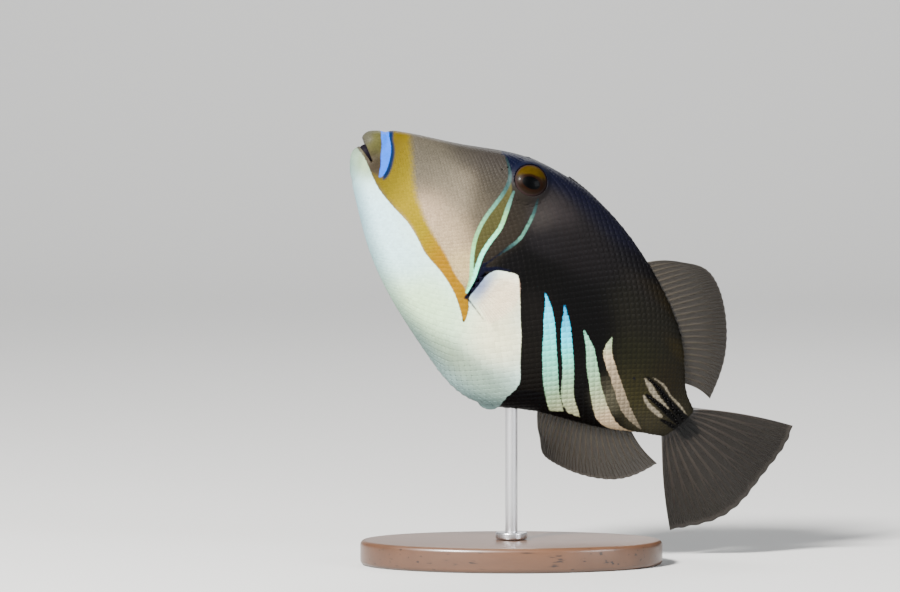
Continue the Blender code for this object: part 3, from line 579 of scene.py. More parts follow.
# all markings as (station, level) places, their half widths in millimetres
far = 0.34
frontLine = [(0.277, 0.201), (0.306, 0.171), (0.314, 0.139), (0.314, 0.100), (0.314, 0.057), (0.320, 0.022),
             (0.333, -0.011), (0.352, -0.042)]
whiteEdge = [(0.046, -0.009), (0.080, -0.029), (0.132, -0.042), (0.173, -0.048), (0.211, -0.062),
             (0.253, -0.085), (0.296, -0.093), (0.328, -0.103), (0.362, -0.118), (0.392, -0.139)]
marks = {
    "lines": [
        {"through": frontLine + [(0.368, -0.068), (0.379, -0.098)], "half": 0.60,
         "tone": [(0.0, 0.0), (0.2, 0.25), (0.36, 0.6), (0.75, 0.85), (1.0, 0.8)]},
        {"through": [(0.331, 0.150), (0.345, 0.100), (0.354, 0.064), (0.354, 0.037), (0.355, 0.000),
                     (0.363, -0.033), (0.371, -0.056), (0.376, -0.075), (0.381, -0.099)], "half": 0.66,
         "tone": [(0.0, 0.35), (0.25, 0.8), (0.6, 1.0), (1.0, 1.0)]},
        {"through": [(0.386, 0.169), (0.399, 0.128), (0.403, 0.100), (0.405, 0.075), (0.400, 0.051),
                     (0.394, 0.033), (0.388, 0.014)], "half": 0.52,
         "tone": [(0.0, 0.0), (0.1, 0.1), (0.3, 0.45), (0.6, 0.5), (0.85, 0.15), (1.0, 0.0)]},
    ],
    "face": [(0.262, far), (0.262, 0.196), (0.268, 0.205)] + frontLine + [
        (0.375, -0.068), (0.384, -0.100), (0.419, -0.160), (0.419, -far), (-0.1, -far), (-0.1, far)],
    "olive": frontLine[1:3] + frontLine[4:] + [
        (0.375, -0.068), (0.363, -0.033), (0.355, 0.000), (0.354, 0.064), (0.345, 0.100), (0.331, 0.146)],
    "white": [(-0.1, 0.030), (0.0, 0.019)] + whiteEdge + [
        (0.405, -0.150), (0.419, -0.163), (0.4175, -0.150), (0.408, -0.125), (0.390, -0.106), (0.392, -0.062),
        (0.393, -0.040), (0.402, -0.019), (0.420, -0.009), (0.449, 0.004), (0.459, -0.006), (0.489, -0.041),
        (0.533, -0.095), (0.577, -0.152), (0.621, -0.200), (0.614, -0.244), (0.624, -0.270), (0.640, -far),
        (-0.1, -far)],
    "yellow": [(0.014, 0.150), (0.022, 0.090), (0.042, 0.071), (0.056, 0.050), (0.068, 0.022), (0.071, 0.000),
               (0.060, -0.007)] + whiteEdge + [
        (0.419, -0.160), (0.416, -0.145), (0.407, -0.125), (0.390, -0.106), (0.370, -0.092), (0.340, -0.085),
        (0.316, -0.072), (0.280, -0.053), (0.241, -0.039), (0.190, -0.012), (0.138, 0.026), (0.104, 0.070),
        (0.067, 0.115), (0.056, 0.150)],
    "blue": [(0.004, 0.110), (0.012, 0.076), (0.029, 0.057), (0.040, 0.037), (0.054, 0.018), (0.060, 0.004),
             (0.067, -0.009), (0.072, 0.003), (0.069, 0.023), (0.058, 0.051), (0.046, 0.069), (0.028, 0.085),
             (0.020, 0.120)],
    "blueShift": (0.0095, 0.0010),
    "stripes": [
        {"left": [(0.526, 0.006), (0.566, -0.051), (0.598, -0.095), (0.639, -0.140), (0.691, -0.182),
                  (0.733, -0.202)],
         "right": [(0.528, 0.007), (0.587, -0.036), (0.623, -0.076), (0.668, -0.118), (0.719, -0.160),
                   (0.761, -0.180)],
         "tone": [(0.0, 0.10), (0.4, 0.35), (1.0, 0.70)]},
        {"left": [(0.579, 0.008), (0.600, -0.026), (0.632, -0.069), (0.676, -0.112), (0.722, -0.158),
                  (0.769, -0.177)],
         "right": [(0.580, 0.011), (0.613, -0.015), (0.653, -0.053), (0.698, -0.094), (0.747, -0.138),
                   (0.807, -0.164)],
         "tone": [(0.0, 0.05), (0.3, 0.22), (0.6, 0.55), (1.0, 0.74)]},
        {"left": [(0.649, -0.008), (0.679, -0.033), (0.723, -0.075), (0.779, -0.111), (0.832, -0.138),
                  (0.880, -0.136), (0.915, -0.116), (0.936, -0.098)],
         "right": [(0.650, -0.007), (0.691, -0.022), (0.744, -0.057), (0.803, -0.090), (0.863, -0.109),
                   (0.905, -0.110), (0.937, -0.096)],
         "tone": [(0.0, 0.50), (0.4, 0.62), (0.7, 0.85), (1.0, 0.90)]},
        {"left": [(0.712, 0.022), (0.715, -0.009), (0.761, -0.042), (0.824, -0.070), (0.867, -0.085),
                  (0.942, -0.081)],
         "right": [(0.712, 0.025), (0.729, 0.003), (0.779, -0.027), (0.842, -0.053), (0.885, -0.067),
                   (0.943, -0.079)],
         "tone": [(0.0, 0.62), (0.3, 0.93), (1.0, 1.0)]},
    ],
    "vent": [(0.614, -0.244), (0.620, -0.217), (0.648, -0.194), (0.679, -0.178), (0.718, -0.203),
             (0.700, -0.250), (0.650, -0.330), (0.628, -0.290)],
    "rows": [
        {"through": [(0.841, 0.012), (0.884, 0.014), (0.928, 0.011), (0.962, 0.011), (0.991, 0.013),
                     (1.050, 0.014)],
         "half": [(0.0, 0.25), (0.3, 0.75), (0.55, 1.2), (0.9, 1.45), (1.0, 0.9)]},
        {"through": [(0.877, -0.017), (0.916, -0.011), (0.957, -0.007), (0.988, -0.003), (1.045, -0.003)],
         "half": [(0.0, 0.5), (0.3, 0.85), (0.7, 1.2), (1.0, 0.9)]},
        {"through": [(0.956, -0.030), (0.978, -0.022), (1.006, -0.016), (1.045, -0.012)],
         "half": [(0.0, 0.5), (0.3, 0.75), (0.8, 0.9), (1.0, 0.6)]},
    ],
    "pale": [
        {"through": [(0.843, 0.006), (0.869, 0.002), (0.892, -0.002), (0.917, -0.002), (0.942, -0.001)],
         "half": [(0.0, 0.15), (0.25, 0.85), (0.5, 0.75), (0.75, 0.5), (1.0, 0.2)]},
        {"through": [(0.874, -0.023), (0.894, -0.028), (0.922, -0.028), (0.947, -0.025)],
         "half": [(0.0, 0.3), (0.4, 0.6), (0.8, 0.7), (1.0, 0.4)]},
        {"through": [(0.855, 0.021), (0.893, 0.027), (0.922, 0.023), (0.953, 0.024), (0.992, 0.021)],
         "half": [(0.0, 0.0), (0.3, 0.26), (0.45, 0.1), (0.7, 0.26), (1.0, 0.05)]},
    ],
    "navy": [
        {"through": [(0.386, -0.111), (0.387, -0.098), (0.387, -0.075), (0.384, -0.052), (0.379, -0.038),
                     (0.374, -0.024)],
         "half": [(0.0, 0.5), (0.3, 0.7), (0.7, 0.95), (1.0, 0.6)]},
        {"through": [(0.377, -0.034), (0.390, -0.026), (0.401, -0.015), (0.412, -0.009), (0.430, -0.001)],
         "half": [(0.0, 0.7), (0.5, 0.55), (1.0, 0.3)]},
        {"through": [(0.376, -0.021), (0.382, -0.003), (0.387, 0.015), (0.393, 0.036)],
         "half": [(0.0, 0.35), (1.0, 0.1)]},
        {"through": [(0.389, -0.109), (0.418, -0.117), (0.448, -0.126)], "half": [(0.0, 0.3), (1.0, 0.1)]},
        {"through": [(0.821, -0.011), (0.824, -0.012)], "half": [(0.0, 0.35), (1.0, 0.35)]},
    ],
}
# ground colours, with painted shade in some zones; each zone is (station, level, how wide, how tall, screen
# colour)
tones = {
    "body": {
        "ground": (5, 4, 5), "hold": 0.06,
        "zones": [
            (0.285, 0.215, 0.04, 0.03, (18, 25, 58)), (0.345, 0.245, 0.05, 0.03, (20, 28, 56)),
            (0.44, 0.245, 0.09, 0.025, (26, 28, 54)), (0.58, 0.225, 0.09, 0.025, (30, 31, 52)),
            (0.35, 0.12, 0.03, 0.05, (62, 56, 48)), (0.370, 0.055, 0.022, 0.05, (66, 59, 50)),
            (0.424, 0.018, 0.026, 0.022, (12, 10, 13)), (0.421, 0.148, 0.026, 0.028, (98, 92, 89)),
            (0.447, 0.172, 0.03, 0.02, (76, 69, 70)), (0.46, 0.11, 0.035, 0.03, (38, 35, 38)),
            (0.44, 0.165, 0.07, 0.04, (50, 45, 46)), (0.54, 0.15, 0.06, 0.05, (30, 26, 28)),
            (0.60, 0.02, 0.07, 0.05, (3, 2, 4)), (0.50, 0.03, 0.05, 0.035, (3, 2, 3)),
            (0.66, 0.19, 0.05, 0.02, (24, 22, 26)), (0.76, 0.10, 0.07, 0.04, (42, 40, 32)),
            (0.80, 0.04, 0.05, 0.04, (50, 50, 32)), (0.835, -0.012, 0.04, 0.03, (70, 66, 42)),
            (0.71, 0.158, 0.05, 0.018, (40, 36, 33)), (0.875, -0.040, 0.05, 0.03, (84, 79, 50)),
            (0.785, -0.080, 0.014, 0.016, (80, 76, 62)), (0.816, -0.080, 0.028, 0.022, (132, 128, 110)),
            (0.93, -0.055, 0.04, 0.03, (90, 85, 66)), (0.75, 0.166, 0.05, 0.012, (52, 44, 24)),
            (0.86, 0.108, 0.04, 0.012, (62, 54, 28)), (0.88, 0.045, 0.05, 0.03, (52, 46, 30)),
            (0.97, 0.0, 0.04, 0.05, (62, 58, 42)), (0.53, -0.04, 0.04, 0.04, (30, 27, 25)),
            (0.60, -0.14, 0.05, 0.05, (30, 27, 23)), (0.70, -0.12, 0.03, 0.04, (18, 15, 16)),
        ],
    },
    "face": {
        "ground": (140, 131, 117), "hold": 0.04,
        "zones": [
            (0.02, 0.065, 0.03, 0.03, (118, 117, 72)), (-0.008, 0.045, 0.008, 0.025, (116, 114, 106)),
            # painted shade: the brown zone at (0.04, 0.02) is the shade in the mouth's corner
            (0.04, 0.02, 0.02, 0.02, (84, 74, 60)),
            (0.12, 0.12, 0.05, 0.04, (118, 112, 99)), (0.18, 0.16, 0.05, 0.03, (86, 81, 74)),
            (0.25, 0.20, 0.06, 0.04, (76, 71, 68)), (0.29, 0.13, 0.04, 0.05, (84, 79, 70)),
            (0.30, 0.06, 0.03, 0.05, (120, 112, 98)), (0.17, 0.06, 0.05, 0.05, (140, 133, 119)),
            (0.23, 0.05, 0.05, 0.05, (166, 157, 141)), (0.27, -0.01, 0.04, 0.04, (206, 195, 174)),
            (0.205, 0.006, 0.04, 0.035, (214, 203, 186)),
            (0.33, -0.06, 0.03, 0.03, (210, 200, 172)),
        ],
    },
    "belly": {
        "ground": (224, 234, 230), "hold": 0.2,
        # painted shade: "keel" darkens the belly and turns it bluish towards its keel
        "keel": {"wide": 0.050, "share": 0.6, "hue": (114, 144, 158)},
        "zones": [
            (0.02, 0.000, 0.03, 0.025, (176, 190, 146)), (-0.010, 0.020, 0.020, 0.02, (124, 130, 108)),
            (0.09, -0.09, 0.06, 0.04, (222, 236, 248)), (0.20, -0.14, 0.06, 0.04, (222, 236, 244)),
            (0.32, -0.18, 0.10, 0.05, (222, 230, 214)), (0.455, -0.06, 0.035, 0.05, (250, 232, 220)),
            # painted shade: the zones at (0.44, -0.24) and (0.56, -0.25) darken the lower belly
            (0.50, -0.14, 0.06, 0.05, (240, 232, 220)), (0.44, -0.24, 0.12, 0.03, (166, 176, 152)),
            (0.400, -0.070, 0.018, 0.035, (98, 104, 184)), (0.56, -0.25, 0.05, 0.04, (190, 204, 196)),
        ],
    },
}


def linear(colour):
    # a screen colour, 0 to 255, as linear light
    part = np.asarray(colour, float) / 255
    return np.where(part <= 0.04045, part / 12.92, ((part + 0.055) / 1.055) ** 2.4)


# the studio's light and the view transform, as pigment() allows for them
film = {"light": 5.0, "knee": 1.4, "brightest": 0.8, "vivid": 1.12, "least": 0.0008, "most": 0.86}


def pigment(colour):
    # the paint that shows as a screen colour, 0 to 255, in the studio's light
    light = linear(colour)
    shown = light / (1 - np.minimum(light, film["brightest"]) ** film["knee"])
    grey = shown.mean()
    paint = np.maximum(grey + (shown - grey) * film["vivid"], film["least"]) / film["light"]
    return tuple(paint * min(1.0, film["most"] / paint.max()))


def toneAt(tone, station, level):
    # the ground colour with soft zones of other colours laid in it, and a painted shade that darkens the
    # belly towards its keel
    total = np.full(len(station), tone["hold"])
    colour = np.array(pigment(tone["ground"]))[None] * total[:, None]
    for middle, height, wide, tall, hue in tone["zones"]:
        weight = np.exp(-((station - middle) / wide) ** 2 - ((level - height) / tall) ** 2)
        total = total + weight
        colour = colour + np.array(pigment(hue))[None] * weight[:, None]
    colour = colour / total[:, None]
    # painted shade along the keel: the underside's shade is laid into its colour
    if "keel" in tone:
        edge = smoothStep(tone["keel"]["wide"], 0.0, level + belly(station))[:, None] * tone["keel"]["share"]
        colour = colour * (1 - edge) + np.array(pigment(tone["keel"]["hue"])) * edge
    return colour


def setColour(mesh, name, colour):
    held = mesh.attributes.new(name, "FLOAT_COLOR", "POINT")
    held.data.foreach_set("color", np.hstack([colour, np.ones((len(colour), 1))]).astype(np.float32).ravel())


def lineDepth(at, name):
    # millimetres inside the widest of the named lines, negative outside them
    deep = np.full(len(at), -farGap)
    for line in marks[name]:
        gap, along = lineGap(at, smoothLine(line["through"]))
        deep = np.maximum(deep, ramp(line["half"])(along) - gap)
    return deep


def widestOf(pairs, count):
    # the deepest of (depth, tone) pairs at each place
    depth, tone = np.full(count, -farGap), np.zeros(count)
    for inside, hue in pairs:
        tone = np.where(inside > depth, hue, tone)
        depth = np.maximum(depth, inside)
    return depth, tone


lineEnds = {"thin": 0.55, "first": 0.15, "last": 0.8}
yellowEdge = [(0.05, 1.5), (0.15, 1.6), (0.26, 0.7), (0.36, 0.35)]    # how soft it is along the head


def paintOn(mesh, places):
    # the markings, as millimetres inside each, and the ground colours, at places on the body
    station, _, height = bodyPlace(places)
    level = height / length
    at = sideView(station, level)

    def cheekLine(line):
        gap, along = lineGap(at, smoothLine(line["through"], 60))
        full = smoothStep(0, lineEnds["first"], along) * smoothStep(1, lineEnds["last"], along)
        half = line["half"] * (lineEnds["thin"] + (1 - lineEnds["thin"]) * full)
        return half - gap, ramp(line["tone"])(along)

    def stripe(shape):
        _, along = lineGap(at, smoothLine(shape["left"]))
        return region(at, between(shape["left"], shape["right"])), ramp(shape["tone"])(along)

    values = {"station": station}
    values["lines"], values["lineTone"] = widestOf(map(cheekLine, marks["lines"]), len(at))
    values["stripes"], values["stripeTone"] = widestOf(map(stripe, marks["stripes"]), len(at))
    for name in ("face", "olive", "white", "yellow", "blue", "vent"):
        values[name] = region(at, rounding(marks[name]))
    values["blueRear"] = region(at, rounding(np.array(marks["blue"]) + marks["blueShift"]))
    values["yellow"] = values["yellow"] / ramp(yellowEdge)(station)
    for name in ("rows", "pale", "navy"):
        values[name] = lineDepth(at, name)
    for name, found in values.items():
        setAttribute(mesh, name, found)
    for name, tone in tones.items():
        setColour(mesh, name + "Tone", toneAt(tone, station, level))


skinPiece = buildSkin()
print("skin", len(skinPiece.data.polygons))
paintOn(skinPiece.data, vertexPlaces(skinPiece.data))
print("markings on the skin")


def addNode(tree, kind, values=None, **settings):
    # a node with its settings; each value is a number, a colour or another node's output
    made = tree.nodes.new(kind)
    for key, value in settings.items():
        setattr(made, key, value)
    for key, value in (values or {}).items():
        if hasattr(value, "is_output"):
            tree.links.new(value, made.inputs[key])
        else:
            made.inputs[key].default_value = value
    return made


def mathNode(tree, operation, first, second=0.0, third=0.0, clamp=False):
    values = {0: first, 1: second, 2: third}
    return addNode(tree, "ShaderNodeMath", values, operation=operation, use_clamp=clamp).outputs[0]


def mixColour(tree, share, first, second, blend="MIX"):
    def full(value):
        return value if hasattr(value, "is_output") else (*value, 1.0)

    values = {0: share, 6: full(first), 7: full(second)}
    return addNode(tree, "ShaderNodeMix", values, data_type="RGBA", blend_type=blend).outputs[2]


def stored(tree, name, output="Fac"):
    return addNode(tree, "ShaderNodeAttribute", attribute_name=name).outputs[output]


def soften(tree, value, low, high):
    values = {0: value, 1: low, 2: high}
    return addNode(tree, "ShaderNodeMapRange", values, interpolation_type="SMOOTHSTEP").outputs[0]


def noise(tree, scale, detail=2.0, roughness=0.5, stretch=None):
    place = addNode(tree, "ShaderNodeTexCoord").outputs["Object"]
    if stretch:
        place = addNode(tree, "ShaderNodeVectorMath", {0: place, 1: stretch}, operation="MULTIPLY").outputs[0]
    values = {"Vector": place, "Scale": scale, "Detail": detail, "Roughness": roughness}
    return addNode(tree, "ShaderNodeTexNoise", values).outputs[0]


# paints stronger than pigment() gives, as linear light
vivid = {"gold": (0.17, 0.083, 0.0006), "amber": (0.155, 0.112, 0.0008), "sky": (0.0006, 0.068, 0.40),
         "skyPale": (0.003, 0.105, 0.66)}


def colourRamp(tree, share, stops):
    made = addNode(tree, "ShaderNodeValToRGB", {0: share})
    while len(made.color_ramp.elements) < len(stops):
        made.color_ramp.elements.new(0.5)
    for element, (place, hue) in zip(made.color_ramp.elements, stops):
        element.position = place
        element.color = (*(vivid[hue] if isinstance(hue, str) else pigment(hue)), 1.0)
    return made.outputs[0]


def newGroup(name, inputs, outputs):
    tree = bpy.data.node_groups.new(name, "ShaderNodeTree")
    for label, kind, value in inputs:
        socket = tree.interface.new_socket(label, in_out="INPUT", socket_type=kind)
        socket.default_value = value
    for label, kind in outputs:
        tree.interface.new_socket(label, in_out="OUTPUT", socket_type=kind)
    return tree, tree.nodes.new("NodeGroupInput").outputs, tree.nodes.new("NodeGroupOutput").inputs


def newMaterial(name, values):
    made = bpy.data.materials.new(name)
    made.use_nodes = True
    shader = made.node_tree.nodes["Principled BSDF"]
    for key, value in values.items():
        shader.inputs[key].default_value = value
    return made, made.node_tree, shader


def addBump(tree, shader, height, distance, strength=1.0):
    bump = addNode(tree, "ShaderNodeBump", {"Height": height, "Distance": distance, "Strength": strength})
    tree.links.new(bump.outputs[0], shader.inputs["Normal"])


plateRim = (0.0009, 0.0007, 0.0006)    # light added along a plate's edge
ramps = {
    "station": [(0.05, (138, 120, 44)), (0.10, (160, 146, 56)), (0.15, (186, 172, 70)), (0.22, "amber"),
                (0.29, "gold"), (0.42, "gold")],
    "lineTone": [(0.0, (44, 62, 66)), (0.3, (84, 120, 118)), (0.6, (140, 186, 172)), (0.8, (182, 214, 180)),
                 (1.0, (186, 238, 224))],
    "stripeTone": [(0.0, (46, 140, 206)), (0.2, (118, 226, 238)), (0.4, (170, 228, 222)),
                   (0.62, (204, 216, 198)), (0.85, (222, 214, 199)), (1.0, (168, 160, 145))],
}


def fishPaint():
    # the colour of skin and scales from their markings, and a fine relief
    inputs = [("Edge", "NodeSocketFloat", 0.0), ("Shade", "NodeSocketFloat", 1.0)]
    outputs = [("Color", "NodeSocketColor"), ("Height", "NodeSocketFloat")]
    tree, given, result = newGroup("fishPaint", inputs, outputs)
    fine = noise(tree, 1500, 2, 0.6)
    broad = noise(tree, 160, 3, 0.6)
    speckle = noise(tree, 2600, 1, 0.5)

    def along(name):
        return colourRamp(tree, stored(tree, name), ramps[name])

    colour = stored(tree, "bodyTone", "Color")
    colour = mixColour(tree, given["Edge"], colour, mixColour(tree, 1.0, colour, plateRim, "ADD"))
    grains = addNode(tree, "ShaderNodeMapRange", {0: speckle, 1: 0.3, 2: 0.7, 3: 0.84, 4: 1.16}).outputs[0]
    cheek = {"Color": stored(tree, "faceTone", "Color"), "Value": grains}
    # each marking: its name, the softness, wander and shift of its edge in millimetres, its colour
    layers = [
        ("olive", 0.3, 0.25, 0.0, mixColour(tree, broad, pigment((116, 114, 70)), pigment((96, 92, 60)))),
        ("face", 0.25, 0.25, 0.0, addNode(tree, "ShaderNodeHueSaturation", cheek).outputs[0]),
        ("yellow", 1.0, 1.6, 0.0, along("station")),
        ("white", 0.2, 0.4, 0.0, stored(tree, "bellyTone", "Color")),
        ("blueRear", 0.5, 0.25, 0.0, pigment((26, 56, 104))),
        ("blue", 0.2, 0.25, 0.0, mixColour(tree, broad, vivid["sky"], vivid["skyPale"])),
        ("lines", 0.22, 0.25, 0.0, along("lineTone")),
        ("stripes", 0.2, 0.5, 0.0, along("stripeTone")),
        ("vent", 0.3, 0.5, 0.0, pigment((12, 12, 16))),
        ("pale", 0.3, 0.4, 0.1, pigment((184, 178, 164))),
        ("rows", 0.2, 0.9, 0.0, pigment((6, 5, 6))),
        ("navy", 0.3, 0.25, 0.0, pigment((10, 14, 44))),
    ]
    for name, width, wander, shift, hue in layers:
        moved = mathNode(tree, "MULTIPLY_ADD", fine, wander, shift - wander / 2)
        inside = soften(tree, mathNode(tree, "ADD", stored(tree, name), moved), -width, width)
        colour = mixColour(tree, inside, colour, hue)
    shade = mathNode(tree, "MULTIPLY", given["Shade"], soften(tree, fine, -0.8, 0.6))
    shaded = addNode(tree, "ShaderNodeHueSaturation", {"Color": colour, "Value": shade})
    tree.links.new(shaded.outputs[0], result["Color"])
    tree.links.new(mathNode(tree, "ADD", fine, speckle), result["Height"])
    return tree


paint = fishPaint()


def paintedMaterial(name, roughness, relief, plates=False):
    made, tree, shader = newMaterial(name, {"Roughness": roughness, "Specular IOR Level": 0.06})
    group = addNode(tree, "ShaderNodeGroup", node_tree=paint)
    if plates:
        tree.links.new(stored(tree, "plateEdge"), group.inputs["Edge"])
        tree.links.new(stored(tree, "plateTone"), group.inputs["Shade"])
    tree.links.new(group.outputs["Color"], shader.inputs["Base Color"])
    addBump(tree, shader, group.outputs["Height"], relief, 0.6)
    return made


skinPiece.name = "fishSkin"
skinPiece.data.materials.clear()
skinPiece.data.materials.append(paintedMaterial("skinPaint", 0.5, 0.00005))
skinPiece.data.shade_smooth()
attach(skinPiece, "root")
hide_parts("head", "torso", "tail_stalk")

coat = {
    "pitch": [(0.06, 0.00105), (0.16, 0.00125), (0.28, 0.00150), (0.36, 0.00200), (0.45, 0.00255),
              (0.75, 0.00255), (0.88, 0.00205), (1.0, 0.00165)],
    "first": 0.072,
    "last": 0.985,
    "fill": 0.485,           # a plate's half size, depth, slope and rise, as shares of the pitch
    "sunk": 0.07,
    "shoulder": 0.022,
    "rise": 0.058,
    "top": 0.80,             # the top's size, as a share of the foot's
    "peakAhead": 0.04,
    "corners": 12,
    "roundness": 1.3,
    "crestMargin": 0.0006,
    "eyeMargin": 0.0072,
    "gillMargin": 0.0010,
    "nearStation": 0.003,
    "nearAngle": 2,
    "rayStart": 0.004,
    "steepest": 0.6,
    "edgeFrom": 0.35,
    # the plates' places on the map: each one's size, the girth they span, and their bounds
    "patch": 0.0015,
    "patchRun": 0.055,
    "patchAft": (0.02, 0.96),
    "patchAcross": {1: 0.75, -1: 0.25},
    "patchHalf": 0.23,
    "follow": [(0.42, 0.95), (0.50, 0.80)],    # how closely the markings on a plate keep to their lines
    "relief": [(0.0, 0.20), (0.14, 0.28), (0.2, 0.36), (0.34, 0.36), (0.40, 0.30), (0.62, 0.42), (1.0, 0.55)],
    "whiteRelief": 0.3,
    "tone": (0.92, 0.16),
    "seed": 7,
    "parts": [("snout", 0.0, 0.20), ("cheek", 0.20, 0.385), ("flank", 0.385, 0.62), ("rear", 0.62, 1.0)],
}


def plateShape():
    # a low closed rhombus with rounded corners, X aft and Z outward, for a pitch of 1
    turns = evenTurns(coat["corners"])
    power = coat["roundness"]
    reach = (np.abs(np.cos(turns)) ** power + np.abs(np.sin(turns)) ** power) ** (-1 / power) * coat["fill"]
    ring = np.stack([reach * np.cos(turns), reach * np.sin(turns)], -1)
    count = len(ring)
    low = np.hstack([ring, np.full((count, 1), -coat["sunk"])])
    high = np.hstack([ring * coat["top"], np.full((count, 1), coat["shoulder"])])
    verts = np.vstack([low, high, [[-coat["peakAhead"], 0.0, coat["rise"]]]])
    faces = ringFaces(2, count)
    faces += [(count + k, count + (k + 1) % count, 2 * count) for k in range(count)]
    faces.append(tuple(range(count))[::-1])
    return closedMesh("plate", verts, faces)


def plateTree():
    # a plate on every point, turned by its "facing" and "aft" and sized by its "size"
    tree = bpy.data.node_groups.new("plates", "GeometryNodeTree")
    for label, side, kind in (("Points", "INPUT", "Geometry"), ("Plate", "INPUT", "Object"),
                              ("Finish", "INPUT", "Material"), ("Plates", "OUTPUT", "Geometry")):
        tree.interface.new_socket(label, in_out=side, socket_type="NodeSocket" + kind)
    given, result = tree.nodes.new("NodeGroupInput").outputs, tree.nodes.new("NodeGroupOutput").inputs

    def named(label):
        made = addNode(tree, "GeometryNodeInputNamedAttribute", {"Name": label}, data_type="FLOAT_VECTOR")
        return made.outputs["Attribute"]

    shape = addNode(tree, "GeometryNodeObjectInfo", {"Object": given["Plate"]})
    turn = addNode(tree, "FunctionNodeAxesToRotation", {0: named("facing"), 1: named("aft")},
                   primary_axis="Z", secondary_axis="X")
    placed = addNode(tree, "GeometryNodeInstanceOnPoints", {
        "Points": given["Points"], "Instance": shape.outputs["Geometry"], "Rotation": turn.outputs[0],
        "Scale": named("size")})
    real = addNode(tree, "GeometryNodeRealizeInstances", {"Geometry": placed.outputs[0]})
    finished = addNode(tree, "GeometryNodeSetMaterial",
                       {"Geometry": real.outputs[0], "Material": given["Finish"]})
    tree.links.new(finished.outputs[0], result["Plates"])
    return tree


def plateRows(first, last):
    # places of the plates between two stations: a diagonal lattice whose rows fan out from the snout
    pitch = ramp(coat["pitch"])
    station, column, found = coat["first"], 0, []
    angles = np.linspace(-90, 90, 361)
    while station < coat["last"]:
        step = float(pitch(station))
        if first <= station < last:
            half, height = sectionPoint(station, angles)
            run = np.concatenate([[0], np.cumsum(np.hypot(np.diff(half), np.diff(height)))])
            run -= np.interp(0, height, run)
            shift = 0.5 * (column % 2)
            rows = np.arange(math.ceil(run[0] / step - shift), math.floor(run[-1] / step - shift) + 1) + shift
            at = rows * step
            keep = (at > run[0] + coat["crestMargin"]) & (at < run[-1] - coat["crestMargin"])
            found += [(station, float(np.interp(t, run, angles)), step, t) for t in at[keep]]
        station += step / 2 / length
        column += 1
    return np.array(found)


def growOn(name, places, facing, aft, size, shape, tree, finish):
    # copies of a shape on places, as one plain mesh
    cloud = meshFrom(name, places, [])
    for label, values in (("facing", facing), ("aft", aft), ("size", size)):
        held = cloud.attributes.new(label, "FLOAT_VECTOR", "POINT")
        held.data.foreach_set("vector", np.asarray(values, dtype=np.float32).ravel())
    piece = addObject(name, cloud)
    grown = piece.modifiers.new("plates", "NODES")
    grown.node_group = tree
    sockets = {item.name: item.identifier for item in tree.interface.items_tree if item.in_out == "INPUT"}
    grown[sockets["Plate"]] = shape
    grown[sockets["Finish"]] = finish
    return plainMesh(piece)


def onSkin(place, out, side, surface):
    # where each plate sits on the skin and how it faces, leaving the eye and the gill opening free
    eyeMiddle = eyeMatrix(side).translation
    levels = np.linspace(*gill["levels"], gill["steps"])
    slot = flankPoint(np.full(gill["steps"], gill["station"] - coat["nearStation"]), levels, side)
    index, seats, facing = [], [], []
    for i, (p, o) in enumerate(zip(place, out)):
        start = Vector(p + o * coat["rayStart"])
        hit, normal, _, _ = surface.ray_cast(start, Vector(-o), 2 * coat["rayStart"])
        if hit is None or np.linalg.norm(hit - eyeMiddle) < coat["eyeMargin"]:
            continue
        if np.linalg.norm(slot - np.array(hit), axis=1).min() < coat["gillMargin"]:
            continue
        if normal.dot(Vector(o)) < coat["steepest"]:
            continue
        index.append(i)
        seats.append(hit)
        facing.append((normal * 0.5 + Vector(o)).normalized())
    return np.array(index), seats, facing


def scalePiece(name, side, first, last, shape, tree, finish, surface):
    station, angle, pitch, run = plateRows(first, last).T
    ahead, turn = coat["nearStation"], coat["nearAngle"]
    aft = sectionPlace(station + ahead, angle, side) - sectionPlace(station - ahead, angle, side)
    above, below = np.clip(angle + turn, -90, 90), np.clip(angle - turn, -90, 90)
    rising = sectionPlace(station, above, side) - sectionPlace(station, below, side)
    out, aft = unit(np.cross(rising, aft) * side), unit(aft)
    index, seats, facing = onSkin(sectionPlace(station, angle, side), out, side, surface)
    draw = np.random.default_rng(coat["seed"] + int(side) + int(first * 1000))
    level = sectionPoint(station, angle)[1] / length
    white = region(sideView(station, level), rounding(marks["white"]))
    relief = ramp(coat["relief"])(station) * np.where(white > 0, coat["whiteRelief"], 1.0)
    size = np.stack([pitch, pitch, pitch * relief], -1)[index]
    piece = growOn(name, seats, facing, aft[index], size, shape, tree, finish)
    mesh, per, count = piece.data, len(shape.data.vertices), len(index)
    corner = vertexPlaces(mesh).reshape(count, per, 3)
    middle = corner[:, -1:, :]
    follow = ramp(coat["follow"])(station[index])[:, None, None]
    paintOn(mesh, (middle * (1 - follow) + corner * follow).reshape(-1, 3))
    outline = np.array([[v.co.x, v.co.y] for v in shape.data.vertices]) / coat["fill"]
    edge = np.linalg.norm(outline, axis=1)
    setAttribute(mesh, "plateEdge", np.tile(smoothStep(coat["edgeFrom"], 1.0, edge / edge.max()), count))
    setAttribute(mesh, "plateTone", np.repeat(coat["tone"][0] + coat["tone"][1] * draw.random(count), per))
    # on the map, the right side's plates lie above the left side's
    across = coat["patchAcross"][side] + coat["patchHalf"] * run[index] / coat["patchRun"]
    start, span = coat["patchAft"]
    u = (start + span * station[index])[:, None] + outline[None, :, 0] * coat["patch"]
    v = across[:, None] + outline[None, :, 1] * coat["patch"]
    bakeMap(mesh, u.ravel(), v.ravel())
    mesh.shade_smooth()
    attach(piece, "root")
    print(name, count, "plates", sum(len(face.vertices) - 2 for face in mesh.polygons), "triangles")


